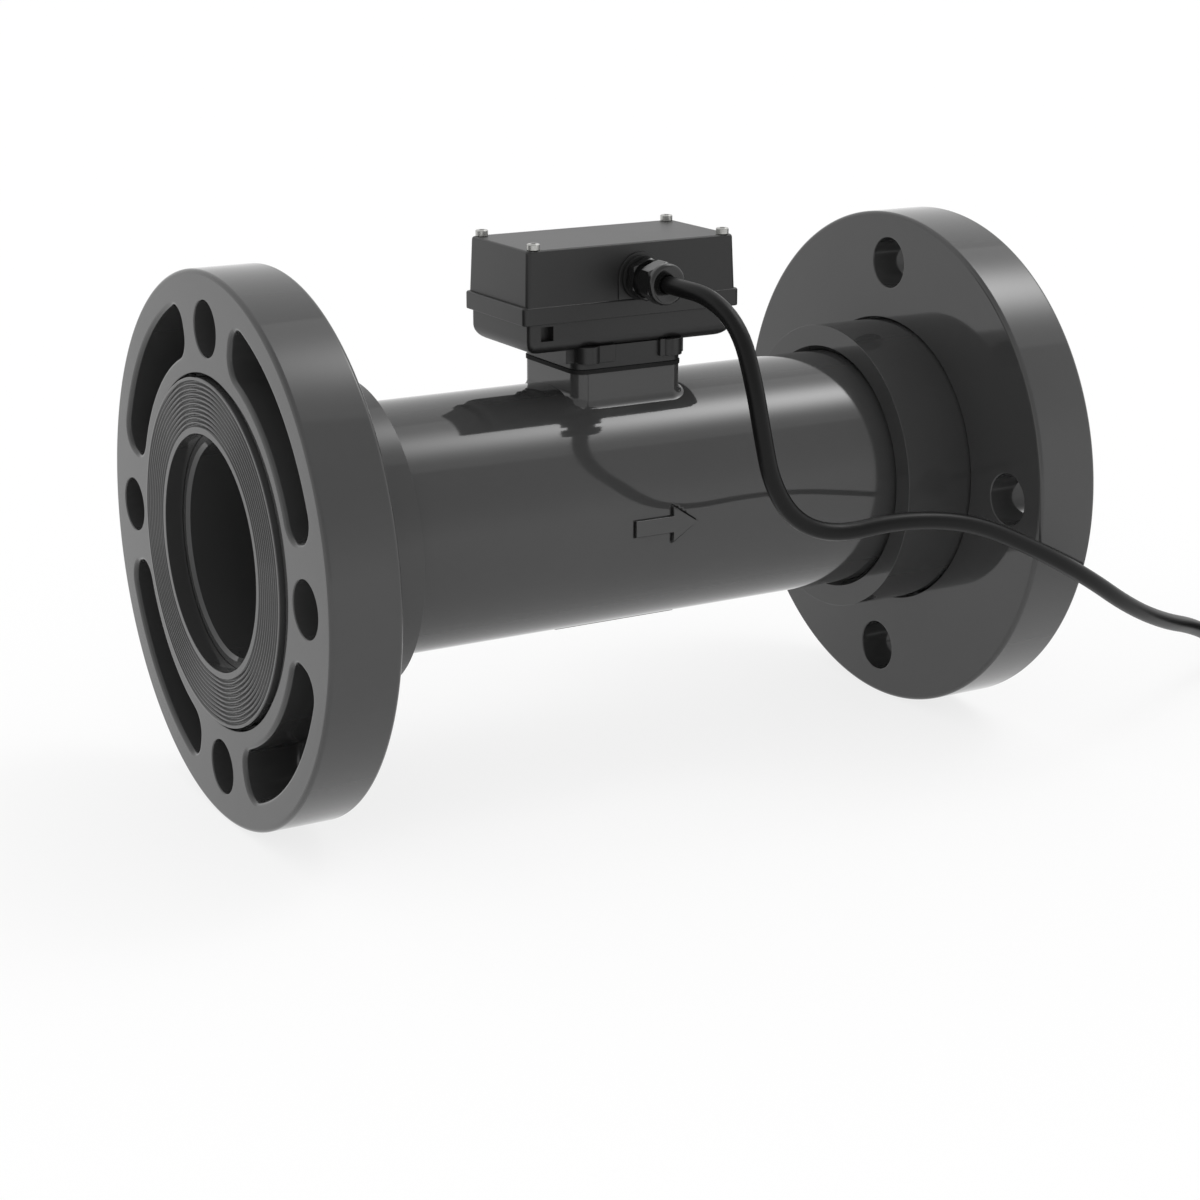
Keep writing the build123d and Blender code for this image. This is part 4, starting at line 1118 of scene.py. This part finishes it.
screws = placed("cover_screws_turned", screw())
repeated(screws, CORNERS, Length=2 * SCREW_X * MM, Width=2 * SCREW_Y * MM,
         Centre=(CENTRE_X * MM, 0.0, COVER_TOP_Z * MM), Material=STEEL)
smoothed(screws)
finished(screws, STEEL, "meter", "stainless_steel", "cover_screws")


# Cable gland
def gland_loop(x, cap, hexed=False):
    """A loop about X, round or a blunt-cornered hexagon held within a round limit."""
    start = math.radians(HEX_TURN)
    points = []
    for angle in around(GLAND_TURN, start):
        radius = cap
        if hexed:
            radius = min(cap, hexagon(HEX_AF, angle - start), HEX_CORNER - HEX_BLUNT)
        points.append((x, radius * math.cos(angle), radius * math.sin(angle)))
    return points


def hex_loops(start, end):
    """A hexagon between two places on the axis, its corners trimmed by a cone at both ends."""
    cuts = [HEX_TRIM * i / EDGE_STEPS for i in range(EDGE_STEPS + 1)]
    loops = [gland_loop(start + cut, HEX_CORNER - HEX_TRIM + cut, True) for cut in cuts]
    loops += [gland_loop(end - HEX_TRIM + cut, HEX_CORNER - cut, True) for cut in cuts]
    return loops


def gland_body():
    insert_x = GLAND_FRONT - GLAND_INSERT_LENGTH
    loops = [gland_loop(x, GLAND_THREAD_R) for x in (GLAND_INNER, SEAL_END)]
    loops += hex_loops(SEAL_END, HEX_END)
    loops += [gland_loop(x, NECK_R) for x in (HEX_END, GLAND_FRONT)]
    loops += [gland_loop(x, GLAND_INSERT_R) for x in (GLAND_FRONT, insert_x)]
    loops += [gland_loop(x, GLAND_BORE_R) for x in (insert_x, GLAND_INNER)]
    return along_gland(stacked(loops, closed=True))


def gland_nut():
    collar = [(NUT_HEX_END + NUT_STEP, NUT_COLLAR_R - NUT_CHAMFER), (NUT_HEX_END + NUT_CHAMFER, NUT_COLLAR_R)]
    for s, c in quarter(ROUND_STEPS):
        collar.append((NUT_END - NUT_ROUND * (1 - s), NUT_COLLAR_R - NUT_ROUND * (1 - c)))
    mouth = [(NUT_END, NUT_CONE_R), (NUT_END - NUT_CONE_DEPTH, NUT_MOUTH_R), (GLAND_FRONT, NUT_MOUTH_R)]
    bore = [(GLAND_FRONT, NUT_BORE_R), (NUT_START, NUT_BORE_R)]
    loops = hex_loops(NUT_START, NUT_HEX_END) + [gland_loop(x, r) for x, r in collar + mouth + bore]
    return along_gland(stacked(loops, closed=True))


def gland_seal():
    corners = [
        (PAD_FRONT, GLAND_THREAD_R, 0),
        (SEAL_END, GLAND_THREAD_R, 0),
        (SEAL_END, SEAL_R, SEAL_EDGE),
        (PAD_FRONT, SEAL_R, SEAL_EDGE),
    ]
    return along_gland(lathed(softened(corners, RIM_STEPS), SMALL_TURN))


for name, shape, material, slot in (
    ("gland_body", gland_body(), GLAND_NYLON, "gland_plastic"),
    ("gland_nut", gland_nut(), GLAND_NYLON, "gland_plastic"),
    ("gland_seal", gland_seal(), GASKET_RUBBER, "gasket_rubber"),
):
    finished(smoothed(placed(f"{name}_moulded", shape)), material, "meter", slot, name)


# Turbine: bladed rotor and vaned supports
def blade():
    """One twisted blade, straight up from the hub, its tip following the tip circle."""
    front, back = CENTRE_X - ROTOR_HALF, CENTRE_X + ROTOR_HALF
    loops = []
    for k in range(BLADE_SECTIONS + 1):
        radius = BLADE_ROOT_R + (ROTOR_TIP_R - BLADE_ROOT_R) * k / BLADE_SECTIONS
        share = max(0.0, (radius - HUB_R) / (ROTOR_TIP_R - HUB_R))
        thick = BLADE_ROOT_THICK + (BLADE_TIP_THICK - BLADE_ROOT_THICK) * share
        pitch = math.atan2(FULL_TURN * radius, BLADE_LEAD)
        chord = (2 * ROTOR_HALF - thick * math.sin(pitch)) / math.cos(pitch)
        reach = chord / 2 - thick / 2
        loop = []
        for end in (1, -1):
            for i in range(BLADE_NOSE_STEPS + 1):
                angle = math.pi / 2 * (1 - end * 2 * i / BLADE_NOSE_STEPS)
                u = end * reach + thick / 2 * math.cos(angle)
                w = thick / 2 * math.sin(angle)
                x = CENTRE_X + u * math.cos(pitch) - w * math.sin(pitch)
                y = u * math.sin(pitch) + w * math.cos(pitch)
                loop.append((max(front, min(back, x)), y, math.sqrt(radius ** 2 - min(y, radius) ** 2)))
        loops.append(loop)
    return stacked(loops)


def rotor_hub():
    front, back = CENTRE_X - ROTOR_HALF, CENTRE_X + ROTOR_HALF
    corners = [(front, SHAFT_R, 0), (back, SHAFT_R, 0), (back, HUB_R, ROTOR_EDGE), (front, HUB_R, ROTOR_EDGE)]
    return lathed(softened(corners, RIM_STEPS), SMALL_TURN)


blades = placed("rotor_blades_moulded", blade())
repeated(blades, SPOKES, Copies=BLADE_COUNT, Material=ROTOR_PLASTIC)
smoothed(blades, CRISP_CURVED)
finished(blades, ROTOR_PLASTIC, "turbine", "rotor_plastic", "rotor")
core = smoothed(placed("rotor_hub_moulded", rotor_hub()), CRISP_TURNED)
finished(core, ROTOR_PLASTIC, "turbine", "rotor_plastic")


def support():
    """Nose cone with a bush seat, and the rim that sits in the bore."""
    inner_x = CENTRE_X - ZONE_HALF
    outer_x = inner_x - SUPPORT_LENGTH
    cone = [(inner_x, BUSH_R), (inner_x, HUB_R)]
    cone += [(outer_x + SUPPORT_NOSE * (1 - s), HUB_R * c) for s, c in quarter(SUPPORT_NOSE_STEPS)]
    cone += [(inner_x - BUSH_LENGTH, 0), (inner_x - BUSH_LENGTH, BUSH_R)]
    rim = [
        (outer_x, SUPPORT_R - SUPPORT_RIM, VANE_NOSE),
        (inner_x, SUPPORT_R - SUPPORT_RIM, 0),
        (inner_x, SUPPORT_R, 0),
        (outer_x, SUPPORT_R, SUPPORT_EDGE),
    ]
    return together(lathed(cone, SMALL_TURN), lathed(softened(rim), SUPPORT_TURN))


def vane():
    """One flat vane with a rounded leading edge, from the cone to the rim."""
    end = CENTRE_X - ZONE_HALF
    start = end - SUPPORT_LENGTH + SUPPORT_NOSE
    half = VANE_THICK / 2
    nose, tail = VANE_NOSE, VANE_TAIL
    corners = [(start, -half, nose), (end, -half, tail), (end, half, tail), (start, half, nose)]
    return upright(softened(corners), HUB_R / 2, SUPPORT_R - SUPPORT_RIM / 2)


for side in SIDES:
    cone, fin = support(), vane()
    if side == "downstream":
        cone, fin = mirrored_to_outlet(cone), mirrored_to_outlet(fin)
    holder = smoothed(placed(f"{side}_support_cone", cone), CRISP_TURNED)
    vanes = placed(f"{side}_support_vanes", fin)
    repeated(vanes, SPOKES, Copies=VANE_COUNT, Material=ROTOR_PLASTIC)
    smoothed(vanes, CRISP_TURNED)
    finished(holder, ROTOR_PLASTIC, "meter", "rotor_plastic", f"{side}_support")
    finished(vanes, ROTOR_PLASTIC, "meter", "rotor_plastic")


# Cable: out of the gland, down past the pipe, to a tied coil on the floor
def eased(angle, start):
    """0 before an angle on the coil's path, 1 after it, smooth in between."""
    share = max(0.0, min(1.0, (angle - start) / COIL_BLEND))
    return share * share * (3 - 2 * share)


def coil_events():
    """Where along the coil's path its turns change radius, and where they climb a layer."""
    outer_shift, inner_shift = COIL_MIDDLE - COIL_OUTER, COIL_INNER - COIL_MIDDLE
    shifts = []
    for layer in range(COIL_LAYERS):
        inward, outward = (outer_shift, inner_shift), (-inner_shift, -outer_shift)
        changes = outward if layer % 2 else inward
        shifts += [(layer * COIL_PERIOD + start, change) for start, change in zip(COIL_SHIFTS, changes)]
    shifts.append((COIL_LAST_SHIFT, outer_shift))
    climbs = [layer * COIL_PERIOD + COIL_CLIMB for layer in range(COIL_LAYERS - 1)]
    return shifts, climbs + [COIL_LAST_CLIMB]


def coil_point(path_angle, polygon=1.0):
    """A point on the coil's path, moved outward to a polygon's corner by its ratio."""
    shifts, climbs = coil_events()
    radius = COIL_OUTER + sum(change * eased(path_angle, start) for start, change in shifts)
    z = COIL_FLOOR_Z + sum(COIL_LAYER * eased(path_angle, start) for start in climbs)
    angle = math.radians(COIL_JOIN - path_angle)
    reach = radius / polygon
    return (COIL_CENTRE[0] + reach * math.cos(angle), COIL_CENTRE[1] + reach * math.sin(angle), z)


def coil_points():
    points = []
    path_angle = COIL_STEP / 2
    while path_angle < COIL_END:
        points.append(coil_point(path_angle, COIL_POLYGON))
        path_angle += COIL_STEP
    return points + [coil_point(COIL_END)]


def cable_curve(name, points):
    """A round cable along a smooth curve."""
    curve = bpy.data.curves.new(name, "CURVE")
    curve.dimensions = "3D"
    curve.bevel_depth = CABLE_R * MM
    curve.bevel_resolution = CABLE_ROUND_STEPS
    curve.use_fill_caps = True
    line = curve.splines.new("NURBS")
    line.points.add(len(points) - 1)
    for knot, point in zip(line.points, points):
        knot.co = (point[0] * MM, point[1] * MM, point[2] * MM, 1.0)
    line.order_u = 3
    line.use_endpoint_u = True
    line.resolution_u = CABLE_CURVE_STEPS
    return linked(name, curve)


cable = cable_curve("cable_run_and_coil", CABLE_ROUTE + coil_points())
finished(cable, JACKET, "meter", "cable_jacket", "cable", "cable_coil", "cable_end")


def tie():
    """The strap round the coil's whole bundle."""
    angle = math.radians(TIE_ANGLE)
    direction = Vector((math.cos(angle), math.sin(angle), 0))
    across = Vector((-math.sin(angle), math.cos(angle), 0))
    inner_r, outer_r = COIL_INNER - CABLE_R, COIL_OUTER + CABLE_R
    low_z = COIL_FLOOR_Z - CABLE_R
    high_z = low_z + COIL_LAYERS * COIL_LAYER
    half = TIE_WIDTH / 2

    def loop(inset, offset):
        corner = TIE_CORNER - inset
        corners = [
            (inner_r + inset, low_z + inset, corner),
            (outer_r - inset, low_z + inset, corner),
            (outer_r - inset, high_z - inset, corner),
            (inner_r + inset, high_z - inset, corner),
        ]
        points = []
        for r, z in softened(corners, CORNER_STEPS):
            points.append(Vector((*COIL_CENTRE, z)) + direction * r + across * offset)
        return points

    edge = TIE_EDGE
    outside = [loop(edge, -half), loop(0, edge - half), loop(0, half - edge), loop(edge, half)]
    return stacked(outside + [loop(TIE_THICK, half), loop(TIE_THICK, -half)], closed=True)


strap = smoothed(placed("coil_strap_moulded", tie()))
finished(strap, STRAP, "meter", "tie_plastic", "cable_tie")


def wire_shape(offset, sweep):
    """One short wire that comes out of the cable's far end and curves round with the coil."""
    z = coil_point(COIL_END)[2]
    loops = []
    for k in range(WIRE_STEPS + 1):
        angle = math.radians(WIRE_START + WIRE_SINK - (sweep + WIRE_SINK) * k / WIRE_STEPS)
        radius = COIL_MIDDLE + offset * min(1.0, WIRE_PINCH + k / WIRE_STEPS)
        outward = Vector((math.cos(angle), math.sin(angle), 0))
        centre = Vector((*COIL_CENTRE, z)) + outward * radius
        loop = []
        for turn in around(WIRE_STEPS):
            loop.append(centre + outward * WIRE_R * math.cos(turn) + Vector((0, 0, WIRE_R * math.sin(turn))))
        loops.append(loop)
    return stacked(loops)


wire_shapes = [wire_shape((i - 1) * WIRE_GAP, sweep) for i, sweep in enumerate(WIRE_SWEEPS)]
wires = smoothed(placed("cable_wires_extruded", together(*wire_shapes)), CRISP_CURVED)
finished(wires, WIRE, "meter", "wire_plastic", "cable_wires")

# Finishes on the CAD parts that are shown as they are
NODE_FINISH = {
    "rotor_magnets": MAGNET,
    "rotor_shaft": SHAFT_STEEL,
    "upstream_bush": BUSH_PLASTIC,
    "downstream_bush": BUSH_PLASTIC,
    "upstream_snap_ring": STEEL,
    "downstream_snap_ring": STEEL,
    "pickup_bobbin": BOBBIN_PLASTIC,
    "pickup_winding": COPPER,
    "foot_gasket": GASKET_RUBBER,
    "foot_screws": STEEL,
    "cover_gasket": GASKET_RUBBER,
    "circuit_board": BOARD,
    "board_screws": STEEL,
    "terminal_block": TERMINAL,
    "gland_insert": GASKET_RUBBER,
    "gland_locknut": GLAND_NYLON,
    "cable_inner": JACKET,
}
for name, material in NODE_FINISH.items():
    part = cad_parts[name]
    if part.material_slots:
        for holder_slot in part.material_slots:
            holder_slot.material = material
    else:
        part.data.materials.append(material)


# Floor, world and lamp
def any_ray(tree, rays, *kinds):
    """1 for a ray of one of the kinds, else 0."""
    seen = rays.outputs[kinds[0]]
    for kind in kinds[1:]:
        seen = maths(tree, "MAXIMUM", seen, rays.outputs[kind])
    return seen


def floor_finish():
    """Painted white floor: nearly plain white where seen or mirrored, but it still takes the shadow."""
    material = bpy.data.materials.new("floor_painted_white")
    tree = emptied(material)
    rays = add(tree, "ShaderNodeLightPath")
    seen = any_ray(tree, rays, "Is Camera Ray", "Is Glossy Ray", "Is Transmission Ray")
    matt = add(tree, "ShaderNodeBsdfDiffuse", {"Color": linear("f4f4f4")})
    glow = add(tree, "ShaderNodeEmission", {"Color": linear("ffffff"), "Strength": 1.0})
    share = maths(tree, "MULTIPLY", seen, FLOOR_GLOW)
    layers = {0: share, 1: matt.outputs[0], 2: glow.outputs[0]}
    return surface(material, add(tree, "ShaderNodeMixShader", layers))


def set_floor():
    half, z = FLOOR_HALF, FLOOR_Z * MM
    mesh = bpy.data.meshes.new("floor")
    corners = [(-half, -half, z), (half, -half, z), (half, half, z), (-half, half, z)]
    mesh.from_pydata(corners, [], [(0, 1, 2, 3)])
    mesh.materials.append(floor_finish())
    linked("floor", mesh)


def set_world():
    """A white room, darker up behind the camera, with one soft bright patch for the plastic to mirror."""
    world = bpy.data.worlds.new("pale_room")
    tree = emptied(world)
    rays = add(tree, "ShaderNodeLightPath")
    direction = add(tree, "ShaderNodeTexCoord").outputs["Generated"]

    def facing(toward):
        """The cosine between a ray and a direction."""
        ways = {0: direction, 1: Vector(toward).normalized()}
        return add(tree, "ShaderNodeVectorMath", ways, operation="DOT_PRODUCT").outputs["Value"]

    mirrored = add(tree, "ShaderNodeMapRange", {
        "Value": facing(ROOM_DARK_TOWARD),
        "From Min": ROOM_DARK_START,
        "From Max": ROOM_DARK_FULL,
        "To Min": 1.0,
        "To Max": ROOM_DARK_SIDE,
    }, interpolation_type="SMOOTHSTEP").outputs["Result"]
    gloss = {"Factor": rays.outputs["Is Glossy Ray"], "A": WORLD_LIGHT, "B": mirrored}
    room = add(tree, "ShaderNodeMix", gloss).outputs[0]
    away = maths(tree, "SUBTRACT", facing(KEY_TOWARD), 1.0)
    patch = maths(tree, "EXPONENT", maths(tree, "MULTIPLY", away, math.radians(KEY_SOFTNESS) ** -2))
    lit = maths(tree, "MULTIPLY_ADD", patch, KEY_PEAK, room)
    seen = any_ray(tree, rays, "Is Camera Ray", "Is Transmission Ray")
    strength = add(tree, "ShaderNodeMix", {"Factor": seen, "A": lit, "B": 1.0}).outputs[0]
    light = add(tree, "ShaderNodeBackground", {"Color": linear("ffffff"), "Strength": strength})
    add(tree, "ShaderNodeOutputWorld", {"Surface": light.outputs[0]})
    bpy.context.scene.world = world


def set_sun():
    """A weak, wide lamp in the bright patch's direction, which gives the meter its soft shadow."""
    lamp = bpy.data.lights.new("key_sun", "SUN")
    lamp.energy = SUN_POWER
    lamp.angle = math.radians(SUN_SPREAD)
    holder = linked("key_sun", lamp)
    holder.rotation_mode = "QUATERNION"
    holder.rotation_quaternion = Vector(KEY_TOWARD).to_track_quat("Z", "Y")


set_floor()
set_world()
set_sun()


# Camera
def set_camera():
    turn, dip = math.radians(CAMERA_TURN), math.radians(CAMERA_DIP)
    right = Vector((math.cos(turn), math.sin(turn), 0))
    back = Vector((math.sin(turn) * math.cos(dip), -math.cos(turn) * math.cos(dip), math.sin(dip)))
    lens = bpy.data.cameras.new("camera")
    lens.lens = LENS_LENGTH
    lens.sensor_width = SENSOR_WIDTH
    lens.sensor_fit = "HORIZONTAL"
    lens.shift_x, lens.shift_y = LENS_SHIFT
    lens.clip_start = VIEW_FROM
    lens.clip_end = VIEW_TO
    camera = linked("camera", lens)
    columns = Matrix((right, back.cross(right), back)).transposed()
    camera.matrix_world = Matrix.Translation(CAMERA_AT) @ columns.to_4x4()
    bpy.context.scene.camera = camera


set_camera()
bpy.context.scene.view_settings.view_transform = "Standard"
